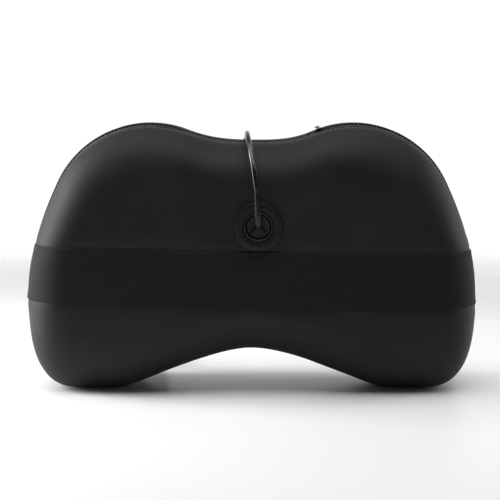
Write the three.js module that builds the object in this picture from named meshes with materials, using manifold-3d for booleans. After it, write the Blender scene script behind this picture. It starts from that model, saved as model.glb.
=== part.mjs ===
// A two-lobed shiatsu neck massager that stands on its long lower edge.
// Millimetres, +Z up, +X to the right as seen from the back panel, and the back panel faces -Y.
// The origin is on the surface it stands on, below the middle of the padded body.
import * as THREE from "three";
import { mergeVertices } from "three/addons/utils/BufferGeometryUtils.js";
import Module from "manifold-3d";

const wasm = await Module();
wasm.setup();

// ---------------------------------------------------------------- driving dimensions
const CLEARANCE = 0.3; // between pieces that touch

// Padded body.
const WIDTH = 360;
const HEIGHT = 210;
const DEPTH = 115;
const LOBE_RADIUS = 82; // the round shoulder of each lobe
const LOBE_EDGE = 98; // from the lobe's centre to the side of the body
const LOBE_FROM = 112; // degrees, where the shoulder leaves the saddle
const LOBE_TO = 25; // degrees, where the shoulder runs into the side
const SIDE_BULGE_Z = 72; // height of the widest place
const SADDLE_DROP = 14; // how far the saddle lies below the lobes
const SADDLE_X = 5;
const ARCH_RISE = 32; // the arch under the waist
const FOOT_INNER = 68; // from the side of the body to the inner end of its foot
const FOOT_OUTER = 38; // from the side of the body to the outer end of its foot
const GUSSET_HALF = 14; // half the width of the straight band round the body
const FACE_SHARE = 0.57; // the flat middle of a panel, as a share of the outline
const SPINE_SHARE = 0.53; // how far the two lobes' middles lie apart, as a share of their width
const ROUNDING_STEPS = 4;
const LOBE_STEPS = 9;

// Covers, zip and strap.
const COVER_THICK = 2.4;
const ZIP_WIDTH = 7.4;
const ZIP_SINK = 0.6; // the zip lies a little below the leather
const ZIP_LEFT_X = -33;
const ZIP_RIGHT_X = 45;
const FLAP_PROUD = 0.8;
const STRAP_BOTTOM = 67;
const STRAP_HEIGHT = 46;
const STRAP_THICK = 1.2;
const SLIDER_LENGTH = 7;
const SLIDER_WIDTH = 6.4;
const SLIDER_THICK = 2.5;
const SLIDER_AT = 110; // degrees round the right shoulder
const PULL_LENGTH = 16;
const PULL_WIDTH = 4;
const PULL_THICK = 1;

// Mechanism.
const ROTOR_X = 60; // each rotor's axis from the middle
const TRAY_WALL = 2.5;
const CASE_ROOM = 4.5; // between the motor and the case's wall
const MOTOR_UNDER = 2.5; // between the motor and the tray's floor
const MOTOR_OVER = 2; // between the motor and the frame
const TRAY_FROM_BACK = 13; // from the back panel to the tray
const TRAY_FLOOR = 3;
const FRAME_THICK = 3;
const FRAME_RIM = 14; // how far the frame's rim stands forward of its plate
const GEAR_MODULE = 1.6;
const WHEEL_TEETH = 30;
const WHEEL_FACE = 8;
const WORM_PITCH_RADIUS = 6;
const WORM_LENGTH = 15;
const TOOTH_ADDENDUM = 1.6;
const TOOTH_DEDENDUM = 2;
const SHAFT_RADIUS = 2;
const OUTPUT_RADIUS = 4;
const MOTOR_RADIUS = 13;
const MOTOR_LENGTH = 54;
const CLAMP_LENGTH = 16;
const BEARING_OUT = 22; // from a rotor's axis to the drive shaft's bearing
const BEARING_THICK = 6;
const ROTOR_TILT = 7; // degrees, what makes the heads knead in and out
const ROTOR_THICK = 5;
const HEAD_ORBIT = 24;
const HEAD_RADIUS = 17;
const AXLE_RADIUS = 3;
const HEAD_TIP_GAP = 9; // from the highest head to the front panel
const HEAD_WIDE = 0.56; // how far up a head is still at its widest, as a share of its height
const HEAD_GAP = 0.4; // from the turning heads to the foam
const LINER_THICK = 0.8;
const LINER_LAP = 2; // the liner reaches this far past the opening
const FOAM_INSET = 4;
const ARM_ROUND = 8; // the round ends of a rotor's arm
const HUB_WALL = 7; // round an output shaft, on its arm
const BUSH_WALL = 2.5;
const BUSH_FLANGE = 2;
const BEARING_HALF = 5; // from the drive line to the edge of its bearing
const CLAMP_WALL = 1;
const CLAMP_RIB = 2;
const SCREW_RADIUS = 1.6;
const SCREW_HEAD = 3.5;
const SCREW_HEAD_TALL = 2;
const SCREW_BESIDE = 38; // the outer screws, from a rotor's axis
const SCREW_ABOVE = 39; // the middle screws, from the height of the axes
const SCREW_APART = 20; // the middle screws, from the middle
const POST_WALL = 2.4; // round a screw's hole
const BOARD_WIDTH = 28;
const BOARD_HEIGHT = 34;
const BOARD_THICK = 1.6;
const BOARD_STAND = 4; // from the tray's floor to the board
const BOARD_DROP = 10; // the board's low edge, below the rotors' axes
const BOSS_RADIUS = 2.5;
const BOSS_IN = 4; // each boss from the board's edges
const LAMP_RADIUS = 6;
const LAMP_TALL = 14;
const CUTOUT_RADIUS = 5;
const CUTOUT_TALL = 3;
const CUTOUT_ABOVE = 20; // from the lamp to the cut-out

// Control strip on the side.
const CONTROL_LENGTH = 38;
const CONTROL_WIDTH = 13;
const CONTROL_DEPTH = 7;
const CONTROL_ON_SIDE = 0.25; // where it sits on the curve from shoulder to widest place
const BUTTON_RADIUS = 4;
const BUTTON_OUT = 9; // each button from the middle of the strip
const BUTTON_PROUD = 0.8;
const BUTTON_TALL = 4.4;
const BUTTON_POCKET = 5.2;
const LIGHT_RADIUS = 1.4;
const LIGHT_TALL = 2.9;

// Socket and lead.
const SOCKET_X = 5;
const SOCKET_Z = 134;
const SOCKET_RADIUS = 19;
const SOCKET_CUP = 11.3;
const SOCKET_DEPTH = 7.5; // the plug's seat, below the back panel
const SOCKET_WALL = 2.8;
const BEZEL_TALL = 2.7;
const BEZEL_EDGE = 1.3;
const BEZEL_SLOPE = 1.8;
const PLUG_RADIUS = 9.5;
const PLUG_STEM = 5.5;
const PLUG_PROUD = 6.5;
const CORD_DIAMETER = 4.2;
const RELIEF_WALL = 0.6; // of the strain relief, over the cord
const COIL_MID_RADIUS = 23.1;
const COIL_LAYERS = 3;
const TIE_THICK = 0.9;
const TIE_WIDTH = 9;
const TIE_SLACK = 0.4;
const ADAPTER_LENGTH = 46;
const ADAPTER_WIDTH = 34;
const ADAPTER_HEIGHT = 26;
const ADAPTER_CORNER = 4;
const ADAPTER_END_X = -114;
const ADAPTER_Y = 155;
const PIN_RADIUS = 2;
const PIN_LENGTH = 18;
const PIN_APART = 19;
const GLAND_RADIUS = 4.4;
const GLAND_LENGTH = 13.4;

// ---------------------------------------------------------------- finishes
function finish(color, roughness, metalness = 0) {
  return new THREE.MeshStandardMaterial({ color, roughness, metalness });
}
const LEATHER = finish(0x222124, 0.55);
const SPACER_MESH = finish(0x1a1a1c, 0.9);
const ELASTIC = finish(0x1d1d1c, 0.8);
const ZIP_TAPE = finish(0x18181a, 0.7);
const ZINC = finish(0x2a2a2c, 0.35, 0.8);
const BLACK_PLASTIC = finish(0x161618, 0.45);
const CORD_JACKET = finish(0x101012, 0.25);
const FOAM = finish(0x5b5c60, 0.95);
const CASE_PLASTIC = finish(0xd8d8d4, 0.5);
const HEAD_PLASTIC = finish(0xb8443a, 0.4);
const STEEL = finish(0xb9bbbe, 0.3, 0.9);
const BRASS = finish(0xb5924a, 0.35, 0.9);
const GEAR_NYLON = finish(0xe9e6da, 0.5);
const BOARD_GREEN = finish(0x1f5a35, 0.5);
const LAMP_GLASS = finish(0xc23a2c, 0.15);
const LOOP_TAPE = finish(0x1c1c1e, 0.9);

// ---------------------------------------------------------------- solids and joins
const RAD = Math.PI / 180;

function solid(geometry) {
  const bare = geometry.index ? geometry.toNonIndexed() : geometry.clone();
  bare.deleteAttribute("normal");
  bare.deleteAttribute("uv");
  const merged = mergeVertices(bare, 1e-4);
  return new wasm.Manifold(
    new wasm.Mesh({
      numProp: 3,
      vertProperties: merged.attributes.position.array,
      triVerts: new Uint32Array(merged.index.array),
    }),
  );
}

function geometryOf(body) {
  const mesh = body.getMesh();
  const geometry = new THREE.BufferGeometry();
  geometry.setAttribute("position", new THREE.BufferAttribute(new Float32Array(mesh.vertProperties), 3));
  geometry.setIndex(new THREE.BufferAttribute(new Uint32Array(mesh.triVerts), 1));
  geometry.computeVertexNormals();
  return geometry;
}

const massager = new THREE.Group();

// Adds one piece to a group; its shape is a three.js geometry or a joined solid.
function piece(name, shape, material, group = massager) {
  const geometry = shape.isBufferGeometry ? shape : geometryOf(shape);
  const mesh = new THREE.Mesh(geometry, material);
  mesh.name = name;
  group.add(mesh);
  return mesh;
}

function block(x0, x1, y0, y1, z0, z1) {
  const geometry = new THREE.BoxGeometry(x1 - x0, y1 - y0, z1 - z0);
  return geometry.translate((x0 + x1) / 2, (y0 + y1) / 2, (z0 + z1) / 2);
}

// Turns a closed profile of [radius, height] points round the Y axis.
function turned(profile, segments = 20) {
  const points = profile.map(([radius, height]) => new THREE.Vector2(radius, height));
  if (THREE.ShapeUtils.area(points) < 0) points.reverse();
  const hollow = profile.every(([radius]) => radius > 0);
  if (hollow) points.push(points[0].clone());
  return new THREE.LatheGeometry(points, segments);
}

// A round bar along Y from y0 to y1.
function barY(radius, x, z, y0, y1, segments = 16) {
  const bar = new THREE.CylinderGeometry(radius, radius, y1 - y0, segments);
  return bar.translate(x, (y0 + y1) / 2, z);
}

// A round bar along X from x0 to x1.
function barX(radius, x0, x1, y, z, segments = 16) {
  const bar = new THREE.CylinderGeometry(radius, radius, x1 - x0, segments);
  return bar.rotateZ(-Math.PI / 2).translate((x0 + x1) / 2, y, z);
}

// A plate with its outline in X and Z, from y0 to y1.
function plateY(shape, y0, y1) {
  const plate = new THREE.ExtrudeGeometry(shape, { depth: y1 - y0, bevelEnabled: false, curveSegments: 10 });
  return plate.rotateX(Math.PI / 2).translate(0, y1, 0);
}

// A straight-sided slot with round ends, along X.
function slotShape(half, radius, z) {
  const shape = new THREE.Shape();
  shape.moveTo(-half, z - radius);
  shape.lineTo(half, z - radius);
  shape.absarc(half, z, radius, -Math.PI / 2, Math.PI / 2, false);
  shape.lineTo(-half, z + radius);
  shape.absarc(-half, z, radius, Math.PI / 2, 1.5 * Math.PI, false);
  return shape;
}

// A round tube along a smooth line through the given points.
function tube(points, radius, sides, steps) {
  const section = new THREE.Shape();
  for (let i = 0; i < sides; i++) {
    const angle = (i * 2 * Math.PI) / sides;
    if (i === 0) section.moveTo(radius, 0);
    else section.lineTo(radius * Math.cos(angle), radius * Math.sin(angle));
  }
  const line = new THREE.CatmullRomCurve3(points.map((p) => new THREE.Vector3(...p)));
  return new THREE.ExtrudeGeometry(section, { extrudePath: line, steps, bevelEnabled: false });
}

// ---------------------------------------------------------------- outline of the body
const HALF = WIDTH / 2;
const LOBE_X = HALF - LOBE_EDGE;
const LOBE_Z = HEIGHT - LOBE_RADIUS;
const SADDLE_Z = HEIGHT - SADDLE_DROP;
const SPINE_Z = (ARCH_RISE + SADDLE_Z) / 2;

function onLobe(degrees) {
  return [LOBE_X + LOBE_RADIUS * Math.cos(degrees * RAD), LOBE_Z + LOBE_RADIUS * Math.sin(degrees * RAD)];
}

// The curve from the shoulder down to the widest place, on the right.
function sideCurve() {
  const [x, z] = onLobe(LOBE_TO);
  const reach = (HALF - x) * 1.18;
  return new THREE.CubicBezierCurve(
    new THREE.Vector2(x, z),
    new THREE.Vector2(x + reach * Math.sin(LOBE_TO * RAD), z - reach * Math.cos(LOBE_TO * RAD)),
    new THREE.Vector2(HALF, SIDE_BULGE_Z + 0.4 * (z - SIDE_BULGE_Z)),
    new THREE.Vector2(HALF, SIDE_BULGE_Z),
  );
}

// The right half, from the middle of the arch round to the middle of the saddle.
function rightHalf() {
  const [shoulderX, shoulderZ] = onLobe(LOBE_FROM);
  const inner = HALF - FOOT_INNER;
  const outer = HALF - FOOT_OUTER;
  const arch = new THREE.CubicBezierCurve(
    new THREE.Vector2(0, ARCH_RISE),
    new THREE.Vector2(0.36 * inner, ARCH_RISE),
    new THREE.Vector2(0.79 * inner, 0),
    new THREE.Vector2(inner, 0),
  );
  const corner = new THREE.CubicBezierCurve(
    new THREE.Vector2(outer, 0),
    new THREE.Vector2(outer + 0.71 * FOOT_OUTER, 0),
    new THREE.Vector2(HALF, 0.36 * SIDE_BULGE_Z),
    new THREE.Vector2(HALF, SIDE_BULGE_Z),
  );
  const shoulder = [];
  for (let i = 1; i <= LOBE_STEPS; i++) {
    const [x, z] = onLobe(LOBE_TO + ((LOBE_FROM - LOBE_TO) * i) / LOBE_STEPS);
    shoulder.push(new THREE.Vector2(x, z));
  }
  const saddle = new THREE.CubicBezierCurve(
    new THREE.Vector2(shoulderX, shoulderZ),
    new THREE.Vector2(0.64 * shoulderX, SADDLE_Z + 0.06 * (shoulderZ - SADDLE_Z)),
    new THREE.Vector2(0.35 * shoulderX, SADDLE_Z),
    new THREE.Vector2(0, SADDLE_Z),
  );
  const side = sideCurve().getPoints(4).reverse().slice(1);
  const top = saddle.getPoints(4).slice(1);
  return [...arch.getPoints(6), ...corner.getPoints(5), ...side, ...shoulder, ...top];
}

// The whole outline, counter-clockwise in X and Z. The saddle's low point leans to one side.
function outlinePoints() {
  const right = rightHalf();
  const left = right
    .slice(1, -1)
    .reverse()
    .map((p) => new THREE.Vector2(-p.x, p.y));
  const [shoulderX] = onLobe(LOBE_FROM);
  return [...right, ...left].map((p) => {
    const onSaddle = p.y > SPINE_Z ? Math.max(0, 1 - Math.abs(p.x) / shoulderX) : 0;
    return new THREE.Vector2(p.x + SADDLE_X * onSaddle, p.y);
  });
}
const OUTLINE = outlinePoints();

// The outline moved inward by inset, each point along its own normal.
function outline(inset = 0) {
  const count = OUTLINE.length;
  const moved = OUTLINE.map((p, i) => {
    const along = OUTLINE[(i + 1) % count].clone().sub(OUTLINE[(i + count - 1) % count]);
    const inward = new THREE.Vector2(-along.y, along.x).normalize();
    return p.clone().addScaledVector(inward, inset);
  });
  return new THREE.Shape(moved);
}

// The padded body: a straight band, and on each side of it a rounding down to a flat panel.
function pillow(inset = 0) {
  const levels = 2 * ROUNDING_STEPS + 1;
  const settings = { depth: levels, steps: levels, bevelEnabled: false };
  const geometry = new THREE.ExtrudeGeometry(outline(inset), settings);
  const place = geometry.attributes.position;
  for (let i = 0; i < place.count; i++) {
    const level = Math.round(place.getZ(i));
    const front = level <= ROUNDING_STEPS;
    const steps = front ? ROUNDING_STEPS - level : level - ROUNDING_STEPS - 1;
    const turn = (steps / ROUNDING_STEPS) * 90 * RAD;
    const share = 1 - (1 - FACE_SHARE) * (1 - Math.cos(turn));
    const out = GUSSET_HALF + (DEPTH / 2 - inset - GUSSET_HALF) * Math.sin(turn);
    const x = place.getX(i) * (SPINE_SHARE + (1 - SPINE_SHARE) * share);
    const z = SPINE_Z + (place.getY(i) - SPINE_Z) * share;
    place.setXYZ(i, x, front ? out : -out, z);
  }
  return solid(geometry);
}

const FAR = 2 * WIDTH; // longer than anything, for cutting blocks
function slice(y0, y1) {
  return solid(block(-FAR, FAR, y0, y1, -FAR, FAR));
}

// ---------------------------------------------------------------- covers
const outer = pillow();
const lining = pillow(COVER_THICK);
const shell = outer.subtract(lining);
const BACK_Y = -DEPTH / 2;
const ZIP_BACK = -GUSSET_HALF + CLEARANCE;
const ZIP_FRONT = ZIP_BACK + ZIP_WIDTH;
const CUP_BACK = BACK_Y + SOCKET_DEPTH + SOCKET_WALL;

const cupWay = barY(SOCKET_CUP + CLEARANCE, SOCKET_X, SOCKET_Z, 2 * BACK_Y, CUP_BACK + CLEARANCE, 24);
const socketHole = solid(cupWay);
piece("back_cover", shell.intersect(slice(-FAR, -GUSSET_HALF)).subtract(socketHole), LEATHER);
piece("front_cover", shell.intersect(slice(GUSSET_HALF, FAR)), SPACER_MESH);

// A band of the straight part of the body, between two insets.
function band(outerInset, innerInset, y0, y1) {
  const inside = plateY(outline(innerInset), y0 - CLEARANCE, y1 + CLEARANCE);
  return solid(plateY(outline(outerInset), y0, y1)).subtract(solid(inside));
}

// The control strip sits square to the side curve.
const side = sideCurve();
const controlAt = side.getPoint(CONTROL_ON_SIDE);
const sideRun = side.getTangent(CONTROL_ON_SIDE);
const controlTilt = -Math.atan2(sideRun.x, -sideRun.y);
const controlY = (ZIP_FRONT + GUSSET_HALF) / 2;
const control = new THREE.Group();
control.position.set(controlAt.x, controlY, controlAt.y);
control.rotation.y = controlTilt;
massager.add(control);

function oblong(grow, x0, x1) {
  const radius = CONTROL_WIDTH / 2 + grow;
  const shape = slotShape(CONTROL_LENGTH / 2 - CONTROL_WIDTH / 2, radius, 0);
  const settings = { depth: x1 - x0, bevelEnabled: false, curveSegments: 8 };
  const geometry = new THREE.ExtrudeGeometry(shape, settings);
  return geometry.rotateZ(Math.PI / 2).rotateY(Math.PI / 2).rotateX(Math.PI / 2).translate(x0, 0, 0);
}

function inControlPlace(geometry) {
  return geometry.rotateY(controlTilt).translate(controlAt.x, controlY, controlAt.y);
}
const controlWindow = solid(inControlPlace(oblong(CLEARANCE, -CONTROL_DEPTH - CLEARANCE, CONTROL_DEPTH)));

piece(
  "gusset_band",
  band(0, COVER_THICK, ZIP_FRONT + CLEARANCE, GUSSET_HALF - CLEARANCE).subtract(controlWindow),
  LEATHER,
);

const zipGap = solid(block(ZIP_LEFT_X, ZIP_RIGHT_X, -FAR, FAR, SPINE_Z, FAR));
const flapGap = block(ZIP_LEFT_X + CLEARANCE, ZIP_RIGHT_X - CLEARANCE, -FAR, FAR, SPINE_Z, FAR);
piece("zip_chain", band(ZIP_SINK, COVER_THICK, ZIP_BACK, ZIP_FRONT).subtract(zipGap), ZIP_TAPE);
piece("saddle_flap", band(-FLAP_PROUD, COVER_THICK, ZIP_BACK, ZIP_FRONT).intersect(solid(flapGap)), LEATHER);

const strapRoom = solid(block(-FAR, FAR, -FAR, -GUSSET_HALF, STRAP_BOTTOM, STRAP_BOTTOM + STRAP_HEIGHT));
const strap = pillow(-CLEARANCE - STRAP_THICK).subtract(pillow(-CLEARANCE)).intersect(strapRoom);
piece("elastic_strap", strap, ELASTIC);

// The slider runs round the right shoulder on the zip.
const slider = new THREE.Group();
slider.position.set(LOBE_X, (ZIP_BACK + ZIP_FRONT) / 2, LOBE_Z);
slider.rotation.y = (90 - SLIDER_AT) * RAD;
massager.add(slider);
const sliderTop = LOBE_RADIUS + SLIDER_THICK;
const halfLong = SLIDER_LENGTH / 2;
const halfWide = SLIDER_WIDTH / 2;
piece("zip_slider", block(-halfLong, halfLong, -halfWide, halfWide, LOBE_RADIUS, sliderTop), ZINC, slider);
const pullBottom = sliderTop + CLEARANCE;
const pullTop = pullBottom + PULL_THICK;
const pullHalf = PULL_WIDTH / 2;
const pullTip = PULL_LENGTH - halfWide;
piece("zip_pull", block(-pullHalf, pullHalf, -halfWide, pullTip, pullBottom, pullTop), ZINC, slider);

// ---------------------------------------------------------------- mechanism
const SIDES = { left: -1, right: 1 };
const TRAY_Y = BACK_Y + TRAY_FROM_BACK;
const TRAY_DEPTH = TRAY_FLOOR + MOTOR_UNDER + 2 * MOTOR_RADIUS + MOTOR_OVER;
const FLOOR_Y = TRAY_Y + TRAY_FLOOR;
const DRIVE_Y = FLOOR_Y + MOTOR_UNDER + MOTOR_RADIUS;
const FRAME_Y = TRAY_Y + TRAY_DEPTH + CLEARANCE;
const FRAME_FRONT = FRAME_Y + FRAME_THICK;
const WHEEL_PITCH_RADIUS = (GEAR_MODULE * WHEEL_TEETH) / 2;
const DRIVE_DROP = WHEEL_PITCH_RADIUS + WORM_PITCH_RADIUS; // from the rotors' axes to the drive line
const DRIVE_Z = SPINE_Z - DRIVE_DROP;
const TRAY_RADIUS = DRIVE_DROP + MOTOR_RADIUS + CASE_ROOM + TRAY_WALL; // round end of the case
const screwPlaces = {
  left: [-ROTOR_X - SCREW_BESIDE, SPINE_Z],
  right: [ROTOR_X + SCREW_BESIDE, SPINE_Z],
  top_left: [-SCREW_APART, SPINE_Z + SCREW_ABOVE],
  top_right: [SCREW_APART, SPINE_Z + SCREW_ABOVE],
};
const POST_RADIUS = SCREW_RADIUS + CLEARANCE + POST_WALL;
const JOIN = 0.5; // how far a post or boss runs into what it grows from

function caseSolid(grow, y0, y1) {
  return solid(plateY(slotShape(ROTOR_X, TRAY_RADIUS + grow, SPINE_Z), y0, y1));
}

let tray = caseSolid(0, TRAY_Y, TRAY_Y + TRAY_DEPTH).subtract(caseSolid(-TRAY_WALL, FLOOR_Y, FRAME_Y));
let frame = caseSolid(0, FRAME_Y, FRAME_FRONT + FRAME_RIM);
frame = frame.subtract(caseSolid(-TRAY_WALL, FRAME_FRONT, FRAME_FRONT + 2 * FRAME_RIM));
let foam = pillow(FOAM_INSET)
  .subtract(caseSolid(CLEARANCE, TRAY_Y - CLEARANCE, FRAME_FRONT + FRAME_RIM + CLEARANCE))
  .subtract(socketHole)
  .subtract(controlWindow);

for (const [where, [x, z]] of Object.entries(screwPlaces)) {
  const post = barY(POST_RADIUS, x, z, FLOOR_Y + CLEARANCE, FRAME_Y + JOIN, 12);
  const way = barY(SCREW_RADIUS + CLEARANCE, x, z, TRAY_Y - JOIN, FRAME_Y + 2 * JOIN, 12);
  const headY = TRAY_Y - CLEARANCE;
  const headWay = barY(SCREW_HEAD + CLEARANCE, x, z, headY - SCREW_HEAD_TALL - CLEARANCE, TRAY_Y + JOIN, 12);
  frame = frame.add(solid(post)).subtract(solid(way));
  tray = tray.subtract(solid(way));
  foam = foam.subtract(solid(headWay));
  const screw = turned(
    [
      [0, headY - SCREW_HEAD_TALL],
      [SCREW_HEAD, headY - 0.65 * SCREW_HEAD_TALL],
      [SCREW_HEAD, headY],
      [SCREW_RADIUS, headY],
      [SCREW_RADIUS, FRAME_Y - SCREW_RADIUS],
      [0, FRAME_Y],
    ],
    12,
  );
  piece(`case_screw_${where}`, screw.translate(x, 0, z), STEEL);
}

// A wheel whose teeth lean with the worm's thread. hand is 1 for a right-hand worm.
function wormWheel(hand) {
  const root = WHEEL_PITCH_RADIUS - TOOTH_DEDENDUM;
  const tip = WHEEL_PITCH_RADIUS + TOOTH_ADDENDUM;
  const pitch = 360 / WHEEL_TEETH;
  const shape = new THREE.Shape();
  for (let tooth = 0; tooth < WHEEL_TEETH; tooth++) {
    const middle = -90 + (tooth + 0.5) * pitch;
    for (const [share, radius] of [
      [-0.28, root],
      [-0.1, tip],
      [0.1, tip],
      [0.28, root],
    ]) {
      const angle = (middle + share * pitch) * RAD;
      if (tooth === 0 && share === -0.28) shape.moveTo(radius * Math.cos(angle), radius * Math.sin(angle));
      else shape.lineTo(radius * Math.cos(angle), radius * Math.sin(angle));
    }
  }
  const bore = new THREE.Path();
  bore.absarc(0, 0, OUTPUT_RADIUS + CLEARANCE, 0, 2 * Math.PI, true);
  shape.holes.push(bore);
  const wheel = plateY(shape, -WHEEL_FACE / 2, WHEEL_FACE / 2);
  const lean = GEAR_MODULE / (2 * WORM_PITCH_RADIUS * WHEEL_PITCH_RADIUS);
  const place = wheel.attributes.position;
  for (let i = 0; i < place.count; i++) {
    const angle = hand * lean * place.getY(i);
    const [x, z] = [place.getX(i), place.getZ(i)];
    const [cos, sin] = [Math.cos(angle), Math.sin(angle)];
    place.setXYZ(i, x * cos + z * sin, place.getY(i), z * cos - x * sin);
  }
  return wheel;
}

// A single-start worm along X: a round section with one swollen side, twisted along its length.
function worm(hand) {
  const lead = Math.PI * GEAR_MODULE;
  const root = WORM_PITCH_RADIUS - TOOTH_DEDENDUM;
  const tip = WORM_PITCH_RADIUS + TOOTH_ADDENDUM;
  const swell = [
    [-36, tip],
    [-12, tip],
    [12, tip],
    [36, tip],
    [68, (root + tip) / 2],
    [100, root],
    [127, root],
    [153, root],
    [180, root],
    [207, root],
    [233, root],
    [260, root],
    [292, (root + tip) / 2],
  ];
  const shape = new THREE.Shape(
    swell.map(([degrees, radius]) => {
      return new THREE.Vector2(radius * Math.cos(degrees * RAD), radius * Math.sin(degrees * RAD));
    }),
  );
  const steps = Math.round((12 * WORM_LENGTH) / lead);
  const geometry = new THREE.ExtrudeGeometry(shape, { depth: WORM_LENGTH, steps, bevelEnabled: false });
  const place = geometry.attributes.position;
  for (let i = 0; i < place.count; i++) {
    const along = place.getZ(i) - WORM_LENGTH / 2;
    const angle = Math.PI / 2 + (hand * 2 * Math.PI * along) / lead;
    const [u, v] = [place.getX(i), place.getY(i)];
    const [cos, sin] = [Math.cos(angle), Math.sin(angle)];
    place.setXYZ(i, along, u * cos - v * sin, u * sin + v * cos);
  }
  return solid(geometry).subtract(solid(barX(SHAFT_RADIUS + CLEARANCE, -WORM_LENGTH, WORM_LENGTH, 0, 0, 12)));
}

// Shaft line: the motor in the middle, a worm and a bearing at each end.
const shaftHalf = ROTOR_X + BEARING_OUT + BEARING_THICK / 2;
const canHalf = MOTOR_LENGTH / 2;
const canEdge = 0.115 * MOTOR_RADIUS;
const can = turned(
  [
    [SHAFT_RADIUS + CLEARANCE, -canHalf],
    [MOTOR_RADIUS - canEdge, -canHalf],
    [MOTOR_RADIUS, canEdge - canHalf],
    [MOTOR_RADIUS, canHalf - canEdge],
    [MOTOR_RADIUS - canEdge, canHalf],
    [SHAFT_RADIUS + CLEARANCE, canHalf],
  ],
  20,
);
piece("motor_can", can.rotateZ(-Math.PI / 2).translate(0, DRIVE_Y, DRIVE_Z), STEEL);
const clampTop = DRIVE_Z + MOTOR_RADIUS + CLEARANCE + CLAMP_RIB;
const clampBottom = DRIVE_Z - MOTOR_RADIUS - CLEARANCE - CLAMP_WALL;
const clampFront = DRIVE_Y + 0.46 * MOTOR_RADIUS;
const wayHalf = 0.62 * MOTOR_RADIUS; // the opening that the motor is pushed in through
const cradle = solid(
  block(-CLAMP_LENGTH / 2, CLAMP_LENGTH / 2, FLOOR_Y + CLEARANCE, clampFront, clampBottom, clampTop),
);
const motorRoom = solid(barX(MOTOR_RADIUS + CLEARANCE, -FAR, FAR, DRIVE_Y, DRIVE_Z, 20));
const motorWay = solid(block(-FAR, FAR, DRIVE_Y, FAR, DRIVE_Z - wayHalf, DRIVE_Z + wayHalf));
piece("motor_clamp", cradle.subtract(motorRoom).subtract(motorWay), BLACK_PLASTIC);
piece("drive_shaft", barX(SHAFT_RADIUS, -shaftHalf, shaftHalf, DRIVE_Y, DRIVE_Z, 12), STEEL);

const sides = Object.entries(SIDES);
const bushBore = OUTPUT_RADIUS + CLEARANCE;
const bushOut = OUTPUT_RADIUS + BUSH_WALL;
const flangeLow = FRAME_FRONT + CLEARANCE;
for (const [where, sign] of sides) {
  const x = sign * ROTOR_X;
  const hand = -sign;
  piece(`worm_${where}`, worm(hand).translate([x, DRIVE_Y, DRIVE_Z]), BRASS);
  const bearingX = x + sign * BEARING_OUT;
  const shaftWay = solid(barX(SHAFT_RADIUS + CLEARANCE, -FAR, FAR, DRIVE_Y, DRIVE_Z, 12));
  const stand = solid(
    block(
      bearingX - BEARING_THICK / 2,
      bearingX + BEARING_THICK / 2,
      FLOOR_Y + CLEARANCE,
      DRIVE_Y + BEARING_HALF,
      DRIVE_Z - BEARING_HALF,
      DRIVE_Z + BEARING_HALF,
    ),
  );
  piece(`shaft_bearing_${where}`, stand.subtract(shaftWay), BLACK_PLASTIC);

  piece(`worm_wheel_${where}`, wormWheel(hand).translate(x, DRIVE_Y, SPINE_Z), GEAR_NYLON);
  const bush = turned(
    [
      [bushBore, FRAME_Y - FRAME_THICK],
      [bushOut, FRAME_Y - FRAME_THICK],
      [bushOut, flangeLow],
      [bushOut + BUSH_FLANGE, flangeLow],
      [bushOut + BUSH_FLANGE, flangeLow + 0.6 * BUSH_WALL],
      [bushBore, flangeLow + 0.6 * BUSH_WALL],
    ],
    16,
  );
  piece(`shaft_bush_${where}`, bush.translate(x, 0, SPINE_Z), BRASS);
  const bushWay = barY(bushOut + CLEARANCE, x, SPINE_Z, FRAME_Y - JOIN, FRAME_FRONT + JOIN, 16);
  frame = frame.subtract(solid(bushWay));
}

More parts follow.
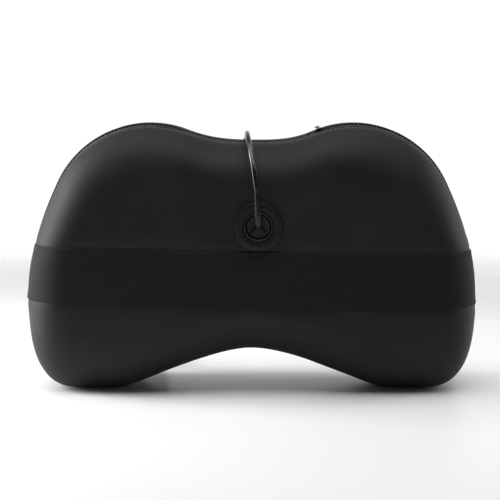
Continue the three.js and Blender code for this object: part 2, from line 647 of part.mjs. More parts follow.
// Rotors: a tilted arm on each output shaft, with a free-turning head at each end.
const sinTilt = Math.sin(ROTOR_TILT * RAD);
const cosTilt = Math.cos(ROTOR_TILT * RAD);
const ARM_ROOM = 2; // below the arm's low end
const rotorLift = ROTOR_THICK / 2 + (HEAD_ORBIT + ARM_ROUND) * sinTilt + ARM_ROOM;
const ROTOR_Y = FRAME_FRONT + rotorLift;
const headBottom = ROTOR_THICK / 2 + CLEARANCE;
const headTip = (DEPTH / 2 - HEAD_TIP_GAP - ROTOR_Y - HEAD_ORBIT * sinTilt) / cosTilt;
const boreTop = 0.55 * headTip;
const HEADS = { upper: 1, lower: -1 };
for (const [where, sign] of sides) {
  const x = sign * ROTOR_X;
  const shaft = barY(OUTPUT_RADIUS, x, SPINE_Z, FLOOR_Y + CLEARANCE, ROTOR_Y + ROTOR_THICK / 2 + 1);
  piece(`output_shaft_${where}`, shaft, STEEL);
  const rotor = new THREE.Group();
  rotor.position.set(x, ROTOR_Y, SPINE_Z);
  rotor.rotation.x = ROTOR_TILT * RAD;
  massager.add(rotor);
  const armShape = plateY(slotShape(HEAD_ORBIT, ARM_ROUND, 0), -ROTOR_THICK / 2, ROTOR_THICK / 2);
  const hub = barY(OUTPUT_RADIUS + HUB_WALL, 0, 0, -ROTOR_THICK / 2, ROTOR_THICK / 2, 20);
  let arm = solid(armShape.rotateY(Math.PI / 2)).add(solid(hub));
  const tiltedBore = OUTPUT_RADIUS + CLEARANCE + ROTOR_THICK * sinTilt;
  const shaftHole = barY(tiltedBore, 0, 0, -ROTOR_THICK, ROTOR_THICK, 16);
  arm = arm.subtract(solid(shaftHole));
  for (const [which, up] of Object.entries(HEADS)) {
    const z = up * HEAD_ORBIT;
    arm = arm.subtract(solid(barY(AXLE_RADIUS + CLEARANCE, 0, z, -ROTOR_THICK, ROTOR_THICK, 12)));
    const axle = barY(AXLE_RADIUS, 0, z, -ROTOR_THICK / 2, boreTop - 1, 12);
    piece(`head_axle_${where}_${which}`, axle, STEEL, rotor);
    const head = turned(
      [
        [0, boreTop],
        [AXLE_RADIUS + CLEARANCE, boreTop],
        [AXLE_RADIUS + CLEARANCE, headBottom],
        [0.6 * HEAD_RADIUS, headBottom],
        [0.85 * HEAD_RADIUS, headBottom + 0.18 * HEAD_RADIUS],
        [HEAD_RADIUS, 0.36 * headTip],
        [HEAD_RADIUS, HEAD_WIDE * headTip],
        [0.88 * HEAD_RADIUS, 0.75 * headTip],
        [0.6 * HEAD_RADIUS, 0.9 * headTip],
        [0.3 * HEAD_RADIUS, 0.98 * headTip],
        [0, headTip],
      ],
      16,
    );
    piece(`massage_head_${where}_${which}`, head.translate(0, 0, z), HEAD_PLASTIC, rotor);
  }
  piece(`rotor_arm_${where}`, arm, BLACK_PLASTIC, rotor);
}

// Control board on bosses of the rear case, and the lamp that warms the heads.
const BOARD_LOW = SPINE_Z - BOARD_DROP;
for (const x of [-BOARD_WIDTH / 2 + BOSS_IN, BOARD_WIDTH / 2 - BOSS_IN]) {
  for (const z of [BOARD_LOW + BOSS_IN, BOARD_LOW + BOARD_HEIGHT - BOSS_IN]) {
    tray = tray.add(solid(barY(BOSS_RADIUS, x, z, FLOOR_Y - JOIN, FLOOR_Y + BOARD_STAND - CLEARANCE, 8)));
  }
}
const boardY = FLOOR_Y + BOARD_STAND;
piece(
  "control_board",
  block(-BOARD_WIDTH / 2, BOARD_WIDTH / 2, boardY, boardY + BOARD_THICK, BOARD_LOW, BOARD_LOW + BOARD_HEIGHT),
  BOARD_GREEN,
);
const lampFoot = flangeLow;
const lamp = turned(
  [
    [0, lampFoot],
    [LAMP_RADIUS, lampFoot],
    [LAMP_RADIUS, lampFoot + 0.4 * LAMP_TALL],
    [0.8 * LAMP_RADIUS, lampFoot + 0.8 * LAMP_TALL],
    [0, lampFoot + LAMP_TALL],
  ],
  12,
);
piece("heat_lamp", lamp.translate(0, 0, SPINE_Z), LAMP_GLASS);
const cutout = barY(CUTOUT_RADIUS, 0, SPINE_Z + CUTOUT_ABOVE, lampFoot, lampFoot + CUTOUT_TALL, 12);
piece("thermal_cutout", cutout, STEEL);
piece("rear_case", tray, CASE_PLASTIC);
piece("front_frame", frame, CASE_PLASTIC);
// The foam's opening clears the heads all the way round, tilted out as they are.
const HEAD_ROOM = HEAD_ORBIT + HEAD_RADIUS + HEAD_WIDE * headTip * sinTilt + HEAD_GAP;
const headRoom = solid(plateY(slotShape(ROTOR_X, HEAD_ROOM, SPINE_Z), FRAME_Y, FAR));
piece("foam_body", foam.subtract(headRoom), FOAM);
const linerY = DEPTH / 2 - FOAM_INSET + CLEARANCE;
const linerShape = slotShape(ROTOR_X, HEAD_ROOM + LINER_LAP, SPINE_Z);
const linerPlate = solid(plateY(linerShape, linerY, linerY + LINER_THICK));
piece("head_liner", linerPlate.intersect(pillow(COVER_THICK + CLEARANCE)), LOOP_TAPE);

// ---------------------------------------------------------------- control strip
let strip = solid(oblong(0, -CONTROL_DEPTH, 0));
const BUTTONS = { power_button: 1, direction_button: -1 };
function pocket(radius, z, x0, x1) {
  return barX(radius, x0, x1, 0, z, 16);
}
for (const [name, up] of Object.entries(BUTTONS)) {
  const z = up * BUTTON_OUT;
  strip = strip.subtract(solid(pocket(BUTTON_RADIUS + CLEARANCE, z, -BUTTON_POCKET, 1)));
  piece(name, pocket(BUTTON_RADIUS, z, BUTTON_PROUD - BUTTON_TALL, BUTTON_PROUD), CORD_JACKET, control);
}
const lightOut = 0.2;
const lightIn = lightOut - LIGHT_TALL;
strip = strip.subtract(solid(barX(LIGHT_RADIUS + CLEARANCE, lightIn - CLEARANCE, 1, 0, 0, 10)));
piece("status_light", barX(LIGHT_RADIUS, lightIn, lightOut, 0, 0, 10), LAMP_GLASS, control);
piece("control_strip", strip, BLACK_PLASTIC, control);

// ---------------------------------------------------------------- socket, plug and lead
const bezelFoot = BACK_Y - CLEARANCE;
const bezelTop = bezelFoot - BEZEL_TALL;
const bezel = turned([
  [SOCKET_CUP + CLEARANCE, bezelFoot],
  [SOCKET_RADIUS, bezelFoot],
  [SOCKET_RADIUS, bezelFoot - BEZEL_EDGE],
  [SOCKET_RADIUS - BEZEL_SLOPE, bezelTop],
  [SOCKET_CUP + CLEARANCE, bezelTop],
]);
piece("socket_bezel", bezel.translate(SOCKET_X, 0, SOCKET_Z), BLACK_PLASTIC);
const cupMouth = BACK_Y - 0.6; // the step that the plug's collar stands on
const cupLip = bezelTop + 0.4;
const cup = turned([
  [0, CUP_BACK],
  [SOCKET_CUP, CUP_BACK],
  [SOCKET_CUP, cupLip],
  [PLUG_RADIUS + CLEARANCE, cupLip],
  [PLUG_RADIUS + CLEARANCE, cupMouth],
  [PLUG_STEM + CLEARANCE, cupMouth],
  [PLUG_STEM + CLEARANCE, BACK_Y + SOCKET_DEPTH],
  [0, BACK_Y + SOCKET_DEPTH],
]);
piece("socket_cup", cup.translate(SOCKET_X, 0, SOCKET_Z), BLACK_PLASTIC);
const plugTip = BACK_Y + SOCKET_DEPTH - CLEARANCE;
const plugSeat = cupMouth - CLEARANCE;
const PLUG_FRONT = BACK_Y - PLUG_PROUD;
const plug = turned([
  [0, plugTip],
  [PLUG_STEM, plugTip],
  [PLUG_STEM, plugSeat],
  [PLUG_RADIUS, plugSeat],
  [PLUG_RADIUS, PLUG_FRONT + 0.16 * PLUG_RADIUS],
  [0.79 * PLUG_RADIUS, PLUG_FRONT],
  [0, PLUG_FRONT],
]);
piece("lead_plug", plug.translate(SOCKET_X, 0, SOCKET_Z), CORD_JACKET);

// The lead's line is chosen by hand: out of the plug, up over the saddle, down the far side, on to the coil.
const RELIEF_LINE = [
  [5, -64.4, 134],
  [5, -66.6, 134],
  [5, -69.2, 136.6],
  [4.8, -70.2, 142],
  [4.3, -70.2, 152],
  [3.8, -69.5, 160],
];
const LEAD_LINE = [
  [3.8, -69.5, 160.4],
  [3.6, -69.2, 163.4],
  [2.6, -67.2, 170],
  [1, -62.5, 181],
  [-1, -54.5, 192],
  [-2.6, -43.5, 200],
  [-3.5, -29.5, 204.3],
  [-3.8, -13, 205.3],
  [-4, 4, 204.2],
  [-4.4, 21, 201.2],
  [-6, 37.5, 195],
  [-9.5, 50, 186.2],
  [-15, 58, 174],
  [-22.5, 61, 160.5],
  [-32, 61.2, 141],
  [-43, 61, 118],
  [-53.5, 61, 94],
  [-62.5, 61.2, 70],
  [-69, 62.5, 48],
  [-73.5, 66, 28],
  [-76, 72.5, 12],
  [-76.2, 83, 4.6],
  [-76.2, 97, 3.3],
];
const TAIL_LINE = [
  [-76.2, 101.5, 11.7],
  [-76.3, 112, 10.8],
  [-77.2, 124, 10],
  [-80.5, 136, 10.2],
  [-86.5, 146, 11.5],
  [-92, 152.8, 12.8],
  [-96.5, 154.9, 13],
  [-99.9, 155, 13],
];
const CORD_SIDES = 8;
const CORD_RADIUS = CORD_DIAMETER / 2;
const RELIEF_RADIUS = CORD_RADIUS + RELIEF_WALL;
piece("strain_relief", tube(RELIEF_LINE, RELIEF_RADIUS, CORD_SIDES, 10), CORD_JACKET);
piece("power_cord", tube(LEAD_LINE, CORD_RADIUS, CORD_SIDES, 44), CORD_JACKET);
piece("cord_tail", tube(TAIL_LINE, CORD_RADIUS, CORD_SIDES, 10), CORD_JACKET);

// The coil lies beside the lead's last stretch, which runs on as its first turn.
const [leadEndX, leadEndY] = LEAD_LINE.at(-1);
const coilHalf = (COIL_LAYERS * CORD_DIAMETER) / 2;
const COIL_X = leadEndX - CORD_RADIUS - CLEARANCE - COIL_MID_RADIUS - coilHalf;
const COIL_Y = leadEndY + 2;
const coilLow = TIE_THICK + CLEARANCE;
const coilHigh = coilLow + 2 * coilHalf;
const coil = turned(
  [
    [COIL_MID_RADIUS - coilHalf, -coilHalf],
    [COIL_MID_RADIUS + coilHalf, -coilHalf],
    [COIL_MID_RADIUS + coilHalf, coilHalf],
    [COIL_MID_RADIUS - coilHalf, coilHalf],
  ],
  32,
);
piece("cord_coil", coil.rotateX(Math.PI / 2).translate(COIL_X, COIL_Y, coilLow + coilHalf), CORD_JACKET);

// The tie goes round the bundle on the coil's far side.
const tieX = COIL_X - COIL_MID_RADIUS;
const bundleHalf = coilHalf + 2 * CLEARANCE;
const tieRoom = solid(
  block(tieX - bundleHalf, tieX + bundleHalf + TIE_SLACK, 0, FAR, coilLow - CLEARANCE, coilHigh + CLEARANCE),
);
const tieWrap = solid(
  block(
    tieX - bundleHalf - TIE_THICK,
    tieX + bundleHalf + TIE_SLACK + TIE_THICK,
    COIL_Y - TIE_WIDTH / 2,
    COIL_Y + TIE_WIDTH / 2,
    0,
    coilHigh + CLEARANCE + TIE_THICK,
  ),
);
piece("cord_tie", tieWrap.subtract(tieRoom), LOOP_TAPE);

const adapterFar = ADAPTER_END_X - ADAPTER_LENGTH;
const adapterSection = new THREE.Shape();
const halfSpan = ADAPTER_WIDTH / 2;
const cornerX = halfSpan - ADAPTER_CORNER;
const cornerHigh = ADAPTER_HEIGHT - ADAPTER_CORNER;
adapterSection.moveTo(-cornerX, 0);
adapterSection.lineTo(cornerX, 0);
adapterSection.absarc(cornerX, ADAPTER_CORNER, ADAPTER_CORNER, -Math.PI / 2, 0, false);
adapterSection.absarc(cornerX, cornerHigh, ADAPTER_CORNER, 0, Math.PI / 2, false);
adapterSection.absarc(-cornerX, cornerHigh, ADAPTER_CORNER, Math.PI / 2, Math.PI, false);
adapterSection.absarc(-cornerX, ADAPTER_CORNER, ADAPTER_CORNER, Math.PI, 1.5 * Math.PI, false);
const adapterBody = new THREE.ExtrudeGeometry(adapterSection, {
  depth: ADAPTER_LENGTH,
  bevelEnabled: false,
  curveSegments: 4,
});
adapterBody.rotateX(Math.PI / 2).rotateZ(Math.PI / 2).translate(adapterFar, ADAPTER_Y, 0);
piece("wall_adapter", adapterBody, BLACK_PLASTIC);
const pinZ = ADAPTER_HEIGHT / 2;
for (const [where, sign] of sides) {
  const y = ADAPTER_Y + (sign * PIN_APART) / 2;
  const pin = barX(PIN_RADIUS, adapterFar - CLEARANCE - PIN_LENGTH, adapterFar - CLEARANCE, y, pinZ, 10);
  piece(`adapter_pin_${where}`, pin, STEEL);
}
const gland = turned(
  [
    [0, 0],
    [GLAND_RADIUS, 0],
    [RELIEF_RADIUS, GLAND_LENGTH],
    [0, GLAND_LENGTH],
  ],
  12,
);
piece(
  "adapter_relief",
  gland.rotateZ(-Math.PI / 2).translate(ADAPTER_END_X + CLEARANCE, ADAPTER_Y, pinZ),
  CORD_JACKET,
);

export default massager;
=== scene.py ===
# %% Load the fixed frame
import math

import bmesh
import bpy
import numpy as np
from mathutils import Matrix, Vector
from mathutils.bvhtree import BVHTree


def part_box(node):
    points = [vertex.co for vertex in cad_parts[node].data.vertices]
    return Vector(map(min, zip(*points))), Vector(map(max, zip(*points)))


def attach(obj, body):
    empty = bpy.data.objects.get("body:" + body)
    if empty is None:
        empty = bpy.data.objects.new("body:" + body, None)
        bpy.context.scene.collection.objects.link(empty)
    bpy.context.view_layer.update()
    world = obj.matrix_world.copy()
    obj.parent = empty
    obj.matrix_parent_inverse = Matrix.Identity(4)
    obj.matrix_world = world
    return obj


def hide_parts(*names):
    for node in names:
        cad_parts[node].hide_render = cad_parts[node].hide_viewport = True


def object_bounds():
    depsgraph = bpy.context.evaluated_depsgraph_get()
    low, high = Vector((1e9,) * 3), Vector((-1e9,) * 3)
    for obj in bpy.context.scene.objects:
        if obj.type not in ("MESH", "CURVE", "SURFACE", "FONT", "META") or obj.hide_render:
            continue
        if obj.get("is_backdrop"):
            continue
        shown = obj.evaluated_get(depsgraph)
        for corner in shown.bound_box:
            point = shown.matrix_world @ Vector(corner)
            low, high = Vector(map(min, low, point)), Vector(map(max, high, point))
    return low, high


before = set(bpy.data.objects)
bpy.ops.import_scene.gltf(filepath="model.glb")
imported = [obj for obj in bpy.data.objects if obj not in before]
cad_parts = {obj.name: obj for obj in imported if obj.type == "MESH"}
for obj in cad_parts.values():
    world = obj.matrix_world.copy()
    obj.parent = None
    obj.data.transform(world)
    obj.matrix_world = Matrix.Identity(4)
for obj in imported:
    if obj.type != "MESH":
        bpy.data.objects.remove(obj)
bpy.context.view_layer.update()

MM = 0.001

# %% [markdown]
# ## The body's outline
# The massager is a padded pillow with two round lobes, a saddle between them and an arch under
# its waist. Everything soft on it follows one outline, so the outline comes first: a few round
# arcs and Bezier curves for the right half, mirrored for the left. It could be traced with many
# points, but curves keep it smooth at any resolution and leave only real sizes to change.

# %% Outline sizes and curves
_, BACK_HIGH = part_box("back_cover")
_, FRONT_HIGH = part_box("front_cover")
HALF = BACK_HIGH.x  # from the middle to a side
FACE_Y = FRONT_HIGH.y  # from the middle to a panel's face
HEIGHT = 212.5 * MM  # over the leather, which swells 2.5 mm above the frame's firm block
LOBE_RADIUS = 82 * MM
LOBE_X = HALF - 98 * MM
LOBE_Z = HEIGHT - LOBE_RADIUS
SADDLE_Z = HEIGHT - 14 * MM
SADDLE_LEAN = 5 * MM  # the saddle's low point lies this far to one side
ARCH_RISE = 32 * MM
FOOT_INNER, FOOT_OUTER = 112 * MM, 142 * MM  # the flat that each lobe stands on
BULGE_Z = 72 * MM  # height of the widest place
SPINE_Z = (ARCH_RISE + SADDLE_Z) / 2
SPINE_SHARE = 0.53
FACE_SHARE = 0.57
BAND_HALF = 14 * MM  # half the straight band between the two panels
COLUMNS = 120  # along the body, from side to side


def bezier(points, steps=60):
    """Points on a cubic Bezier curve."""
    a, b, c, d = (np.array(p, float) for p in points)
    t = np.linspace(0, 1, steps)[:, None]
    return (1 - t) ** 3 * a + 3 * (1 - t) ** 2 * t * b + 3 * (1 - t) * t**2 * c + t**3 * d


def on_lobe(degrees):
    angle = np.radians(degrees)
    return np.stack([LOBE_X + LOBE_RADIUS * np.cos(angle), LOBE_Z + LOBE_RADIUS * np.sin(angle)], -1)


def top_half():
    """The outline's right half from the widest place over the lobe to the saddle."""
    x, z = on_lobe(25)
    reach = (HALF - x) * 1.18
    turn = math.radians(25)
    leave = (x + reach * math.sin(turn), z - reach * math.cos(turn))
    side = bezier([(HALF, BULGE_Z), (HALF, BULGE_Z + 0.4 * (z - BULGE_Z)), leave, (x, z)])
    x, z = on_lobe(112)
    lift = 0.06 * (z - SADDLE_Z)
    saddle = bezier([(x, z), (0.64 * x, SADDLE_Z + lift), (0.35 * x, SADDLE_Z), (0, SADDLE_Z)])
    half = np.concatenate([side, on_lobe(np.linspace(25, 112, 90))[1:], saddle[1:]])
    return half


def lean(points):
    """Moves the saddle a little to one side, as its low point lies."""
    edge = on_lobe(112)[0]
    share = np.clip(1 - np.abs(points[:, 0]) / edge, 0, None)
    return points + np.stack([SADDLE_LEAN * share, 0 * share], -1)


def bottom_half():
    """The outline's right half from the middle of the arch over the foot to the widest place."""
    controls = [(0, ARCH_RISE), (0.36 * FOOT_INNER, ARCH_RISE), (0.79 * FOOT_INNER, 0), (FOOT_INNER, 0)]
    corner = [(FOOT_OUTER, 0), (169 * MM, 0), (HALF, 0.36 * BULGE_Z), (HALF, BULGE_Z)]
    return np.concatenate([bezier(controls), bezier(corner)])


def both_sides(half):
    """A half outline and its mirror image, from left to right."""
    half = half[np.argsort(half[:, 0])]
    mirrored = half[half[:, 0] > 1e-6][::-1] * (-1, 1)
    return np.concatenate([mirrored, half])


def heights(points, x):
    """Height of an outline at each x. The turn angle, not x, is followed, as it stays even at the sides."""
    angles = np.arcsin(np.clip(points[:, 0] / HALF, -1, 1))
    return np.interp(np.arcsin(np.clip(x / HALF, -1, 1)), angles, points[:, 1])


TOP = lean(both_sides(top_half()))
BOTTOM = both_sides(bottom_half())
column_x = HALF * np.sin(np.linspace(-math.pi / 2, math.pi / 2, COLUMNS + 1))
along_bottom = np.stack([column_x, heights(BOTTOM, column_x)], -1)
along_top = np.stack([column_x, heights(TOP, column_x)], -1)
# One closed loop, counter-clockwise: along the bottom to the right, then back over the top.
LOOP = np.concatenate([along_bottom, along_top[-2:0:-1]])


def loop_normals(loop):
    """The outward direction at each point of a closed loop in X and Z."""
    along = np.roll(loop, -1, 0) - np.roll(loop, 1, 0)
    out = np.stack([along[:, 1], -along[:, 0]], -1)
    return out / np.linalg.norm(out, axis=1)[:, None]


OUTWARD = loop_normals(LOOP)
RUN = np.linalg.norm(np.roll(LOOP, -1, 0) - LOOP, axis=1).sum()
print(f"outline: {len(LOOP)} points, {RUN:.3f} m round")

# %% [markdown]
# ## The camera
# The object is seen nearly square on from its back panel, a little from above, through a long
# lens. A long lens at over a metre keeps the two lobes the same size, as product pictures do.
# The camera is made before the pieces, and the lead is laid out of its sight.

# %% Camera
CAMERA_FAR = 1.3  # metres from the middle of the body
CAMERA_UP = 6.0  # degrees
SEEN_WIDTH = 0.406  # metres across the picture at the body
AIM = Vector((-0.0015, 0, 0.1098))

camera_data = bpy.data.cameras.new("camera")
camera_data.sensor_width = 36
camera_data.lens = 36 * CAMERA_FAR / SEEN_WIDTH
camera = bpy.data.objects.new("camera", camera_data)
bpy.context.scene.collection.objects.link(camera)
rise = math.radians(CAMERA_UP)
camera.location = AIM + CAMERA_FAR * Vector((0, -math.cos(rise), math.sin(rise)))
camera.rotation_euler = (math.pi / 2 - rise, 0, 0)
bpy.context.scene.camera = camera
print(f"camera: {camera_data.lens:.0f} mm lens")

# %% [markdown]
# ## The lead
# A thin round power lead leaves the socket on the back panel, goes up over the saddle and down
# the far side, and the rest of its 1.8 m is wound into a neat coil on the table behind the
# body. A lead could be modelled as a bent cylinder, but a curve with a round bevel keeps one
# thickness and one length whatever the route does. The free stretch follows listed points;
# the coil's turns are worked out.

# %% Route of the lead
LEAD_D = 4.2 * MM
RELIEF_LINE = [
    (5, -64.4, 134),
    (5, -66.6, 134),
    (5, -69.2, 136.6),
    (4.8, -70.2, 142),
    (4.3, -70.2, 152),
    (3.8, -69.5, 160),
]
LEAD_LINE = [
    (3.8, -69.5, 160.4),
    (3.6, -69.2, 163.4),
    (2.6, -67.2, 170),
    (1, -62.5, 181),
    (-1, -54.5, 192),
    (-2.6, -43.5, 200),
    (-3.5, -29.5, 204.3),
    (-3.8, -13, 205.3),
    (-4, 4, 204.2),
    (-4.4, 21, 201.2),
    (-6, 37.5, 195),
    (-9.5, 50, 186.2),
    (-15, 58, 174),
    (-22.5, 61, 160.5),
    (-32, 61.2, 141),
    (-43, 61, 118),
    (-53.5, 61, 94),
    (-62.5, 61.2, 70),
    (-69, 62.5, 48),
    (-73.5, 66, 28),
    (-76, 72.5, 12),
    (-76.2, 83, 4.6),
    (-76.2, 97, 3.3),
]
TAIL_LINE = [
    (-76.2, 101.5, 11.7),
    (-76.3, 112, 10.8),
    (-77.2, 124, 10),
    (-80.5, 136, 10.2),
    (-86.5, 146, 11.5),
    (-92, 152.8, 12.8),
    (-96.5, 154.9, 13),
    (-99.9, 155, 13),
]


def metres(line):
    return np.array(line, float) * MM


def smooth(points, step=2.5 * MM):
    """A smooth line through the points, as even steps. Catmull-Rom with chord-length knots."""
    points = np.asarray(points, float)
    first, last = 2 * points[0] - points[1], 2 * points[-1] - points[-2]
    p = np.concatenate([[first], points, [last]])
    found = []
    for i in range(1, len(p) - 2):
        gaps = np.linalg.norm(np.diff(p[i - 1 : i + 3], axis=0), axis=1)
        knots = np.concatenate([[0], np.cumsum(gaps**0.5)])
        count = max(2, int(np.ceil(np.linalg.norm(p[i + 1] - p[i]) / step)))
        for t in np.linspace(knots[1], knots[2], count, endpoint=False):
            level = list(p[i - 1 : i + 3])
            for width in (1, 2):
                level = [
                    (
                        (knots[k + width] - t) * level[k] + (t - knots[k]) * level[k + 1]
                    ) / (knots[k + width] - knots[k])
                    for k in range(len(level) - 1)
                ]
            a, b = level
            found.append(((knots[2] - t) * a + (t - knots[1]) * b) / (knots[2] - knots[1]))
    return np.array([*found, points[-1]])


def length_of(line):
    return float(np.linalg.norm(np.diff(line, axis=0), axis=1).sum())


# The coil lies in the ring that the frame gives it: three layers of three turns, wound from the
# outside in, back out a layer higher, and in again, so that its end comes out over the top.
coil_low, coil_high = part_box("cord_coil")
coil_middle = (coil_low + coil_high) / 2
COIL_SIDE = 3  # turns side by side, and layers
OUTER_TURN = (coil_high.x - coil_low.x) / 2 - LEAD_D / 2
STEPS_PER_TURN = 36
COIL_FROM, COIL_TO = 60, 200  # degrees, where the first turn is joined and the last is left
STEP_OVER = 0.2  # of a turn, in which it moves over to the next


def coil_spots():
    """(place across, layer) of each turn, in the order that they are wound."""
    spots = []
    for layer in range(COIL_SIDE):
        places = list(range(COIL_SIDE))
        spots += [(place, layer) for place in (places if layer % 2 == 0 else places[::-1])]
    return np.array(spots, float)


def coil_line():
    spots = coil_spots()
    radii = OUTER_TURN - LEAD_D * spots[:, 0]
    levels = coil_low.z + LEAD_D * (0.5 + spots[:, 1])
    last = len(spots) - 1 + COIL_TO / 360
    turns = np.arange(COIL_FROM / 360, last, 1 / STEPS_PER_TURN)
    line = []
    for at in turns:
        spot = int(at)
        over = min(spot + 1, len(spots) - 1)
        share = max(0.0, (at - spot - 1 + STEP_OVER) / STEP_OVER)
        share = share * share * (3 - 2 * share)
        radius = radii[spot] + share * (radii[over] - radii[spot])
        level = levels[spot] + share * (levels[over] - levels[spot])
        angle = 2 * math.pi * at
        across = (radius * math.cos(angle), radius * math.sin(angle))
        line.append((coil_middle.x + across[0], coil_middle.y + across[1], level))
    return np.array(line)


# The way out over the coil: (degrees round, share of the way out, thicknesses up).
HUMP = ((225, 0.04, 0.35), (255, 0.15, 0.9), (290, 0.42, 1.05), (325, 0.75, 0.95), (348, 0.93, 0.45))


def over_the_top():
    """From the last turn out over the ones beside it, a thickness higher, in a long low hump."""
    inner = OUTER_TURN - LEAD_D * (COIL_SIDE - 1)
    top = coil_low.z + LEAD_D * (COIL_SIDE - 0.5)
    line = []
    for degrees, out, up in HUMP:
        radius = inner + out * (OUTER_TURN + LEAD_D - inner)
        angle = math.radians(degrees)
        across = (radius * math.cos(angle), radius * math.sin(angle))
        line.append((coil_middle.x + across[0], coil_middle.y + across[1], top + up * LEAD_D))
    return np.array(line)


IN_RELIEF = (4.6, -70.2, 147)  # where the lead's round jacket starts, inside its strain relief
IN_GLAND = (-108, 155, 13)
free = [IN_RELIEF, *LEAD_LINE]
route = [metres(free), coil_line(), over_the_top(), metres([*TAIL_LINE, IN_GLAND])]
lead_path = smooth(np.concatenate(route))
print(f"lead: {length_of(lead_path):.3f} m, {length_of(smooth(metres(free))):.3f} m of it before the coil")


def round_curve(name, line, radius, sides=24):
    """A curve of one open spline with a round section."""
    data = bpy.data.curves.new(name, "CURVE")
    data.dimensions = "3D"
    spline = data.splines.new("POLY")
    spline.points.add(len(line) - 1)
    for point, place in zip(spline.points, line):
        point.co = (*place, 1)
    data.bevel_depth = radius
    data.bevel_resolution = sides // 4 - 1
    data.use_fill_caps = True
    obj = bpy.data.objects.new(name, data)
    bpy.context.scene.collection.objects.link(obj)
    return obj


lead = round_curve("lead", lead_path, LEAD_D / 2)

# %% [markdown]
# ## Finishes: how a material is put together
# Every finish here is made of nodes, so it has no picture files and no seams. A small class
# keeps the node work short: it adds a node, sets its sockets, and joins others to them. Values
# that are even over a surface, such as sheen or coat, are set on the shader itself. Patterns
# are in metres, because every piece lies in the frame's own place.

# %% Finish helper
def linear(red, green, blue):
    """A colour from its 0-255 values."""
    shares = (c / 255 for c in (red, green, blue))
    return [((s + 0.055) / 1.055) ** 2.4 if s > 0.04 else s / 12.92 for s in shares] + [1]


class Finish:
    """A material made of nodes. Sockets are named as keywords, with _ for a space."""

    def __init__(self, name, roughness=0.5, metallic=0.0, **even):
        self.material = bpy.data.materials.new(name)
        self.material.use_nodes = True
        self.tree = self.material.node_tree
        self.shader = self.tree.nodes["Principled BSDF"]
        self.shader.inputs["Roughness"].default_value = roughness
        self.shader.inputs["Metallic"].default_value = metallic
        for socket, value in even.items():
            self.shader.inputs[socket.replace("_", " ")].default_value = value
        self.place = self.add("TexCoord").outputs["Object"]

    def add(self, kind, settings=None, **sockets):
        node = self.tree.nodes.new("ShaderNode" + kind)
        for key, value in (settings or {}).items():
            setattr(node, key, value)
        for socket, value in sockets.items():
            key = int(socket[1:]) if socket[1:].isdigit() else socket.replace("_", " ")
            self.put(value, node.inputs[key])
        return node

    def put(self, value, socket):
        if isinstance(value, bpy.types.NodeSocket):
            self.tree.links.new(value, socket)
        else:
            socket.default_value = value

    def math(self, operation, first, second=0.0, third=0.0):
        node = self.add("Math", {"operation": operation}, _0=first, _1=second)
        self.put(third, node.inputs[2])
        return node.outputs[0]

    def noise(self, cell, detail=2.0, rough=0.5, place=None):
        """Soft noise whose lumps are about cell metres across."""
        place = place or self.place
        return self.add("TexNoise", Vector=place, Scale=1 / cell, Detail=detail, Roughness=rough).outputs[0]

    def cells(self, cell, feature="F1", randomness=1.0, place=None):
        place = place or self.place
        settings = {"feature": feature}
        node = self.add("TexVoronoi", settings, Vector=place, Scale=1 / cell, Randomness=randomness)
        return node.outputs["Distance"]

    def between(self, factor, low, high, from_low=0.0, from_high=1.0):
        """Spreads a factor from one range to another."""
        node = self.add("MapRange", _0=factor)
        for i, value in enumerate((from_low, from_high, low, high)):
            self.put(value, node.inputs[i + 1])
        return node.outputs[0]

    def mix(self, factor, first, second):
        """A colour between two."""
        node = self.add("Mix", {"data_type": "RGBA"})
        self.put(factor, node.inputs[0])
        self.put(first, node.inputs[6])
        self.put(second, node.inputs[7])
        return node.outputs[2]

    def colour(self, value):
        self.put(value, self.shader.inputs["Base Color"])
        return self

    def rough(self, value):
        self.put(value, self.shader.inputs["Roughness"])
        return self

    def bumps(self, *layers):
        """Each layer is (height from 0 to 1, its depth in metres)."""
        below = None
        for height, depth in layers:
            node = self.add("Bump", Height=height, Distance=depth, Strength=1.0)
            if below:
                self.put(below, node.inputs["Normal"])
            below = node.outputs[0]
        self.put(below, self.shader.inputs["Normal"])
        return self.material


# %% [markdown]
# ## Leather
# The back panel, the band round the body and the flap in the saddle are a soft polyurethane
# leather: nearly black with a breath of violet, a fine pebble grain, and a skin that is a
# little shinier where it is pulled tight. Grain could be a picture, but cells of noise at two
# sizes give the same pebbles at any distance.

# %% Leather
def leather(name="soft_leather", dark=(24, 23, 28), light=(30, 29, 33), tension=0.0):
    f = Finish(name, Specular_IOR_Level=0.22, Sheen_Weight=0.02, Sheen_Roughness=0.45)
    cloud = f.noise(45 * MM, 3)
    pebble = f.cells(0.85 * MM)
    pore = f.noise(0.22 * MM, 2)
    f.colour(f.mix(f.between(cloud, 0, 1, 0.35, 0.65), linear(*dark), linear(*light)))
    worn = f.between(cloud, 0.5 - tension, 0.6 - tension, 0.3, 0.7)
    f.rough(f.math("ADD", worn, f.between(pebble, -0.03, 0.05, 0, 0.6)))
    return f.bumps((pebble, 0.05 * MM), (pore, 0.012 * MM), (cloud, 0.12 * MM))


LEATHER = leather()

# %% [markdown]
# ## Spacer mesh
# The massaging side is covered with a thick knitted mesh that lets warmth through. Small
# rounded holes stand in a honeycomb in its face. Three crossed waves make the honeycomb, laid
# on the cloth's own flattened pattern so that the holes keep their shape round the edges.

# %% Spacer mesh
MESH_PITCH = 2.6 * MM


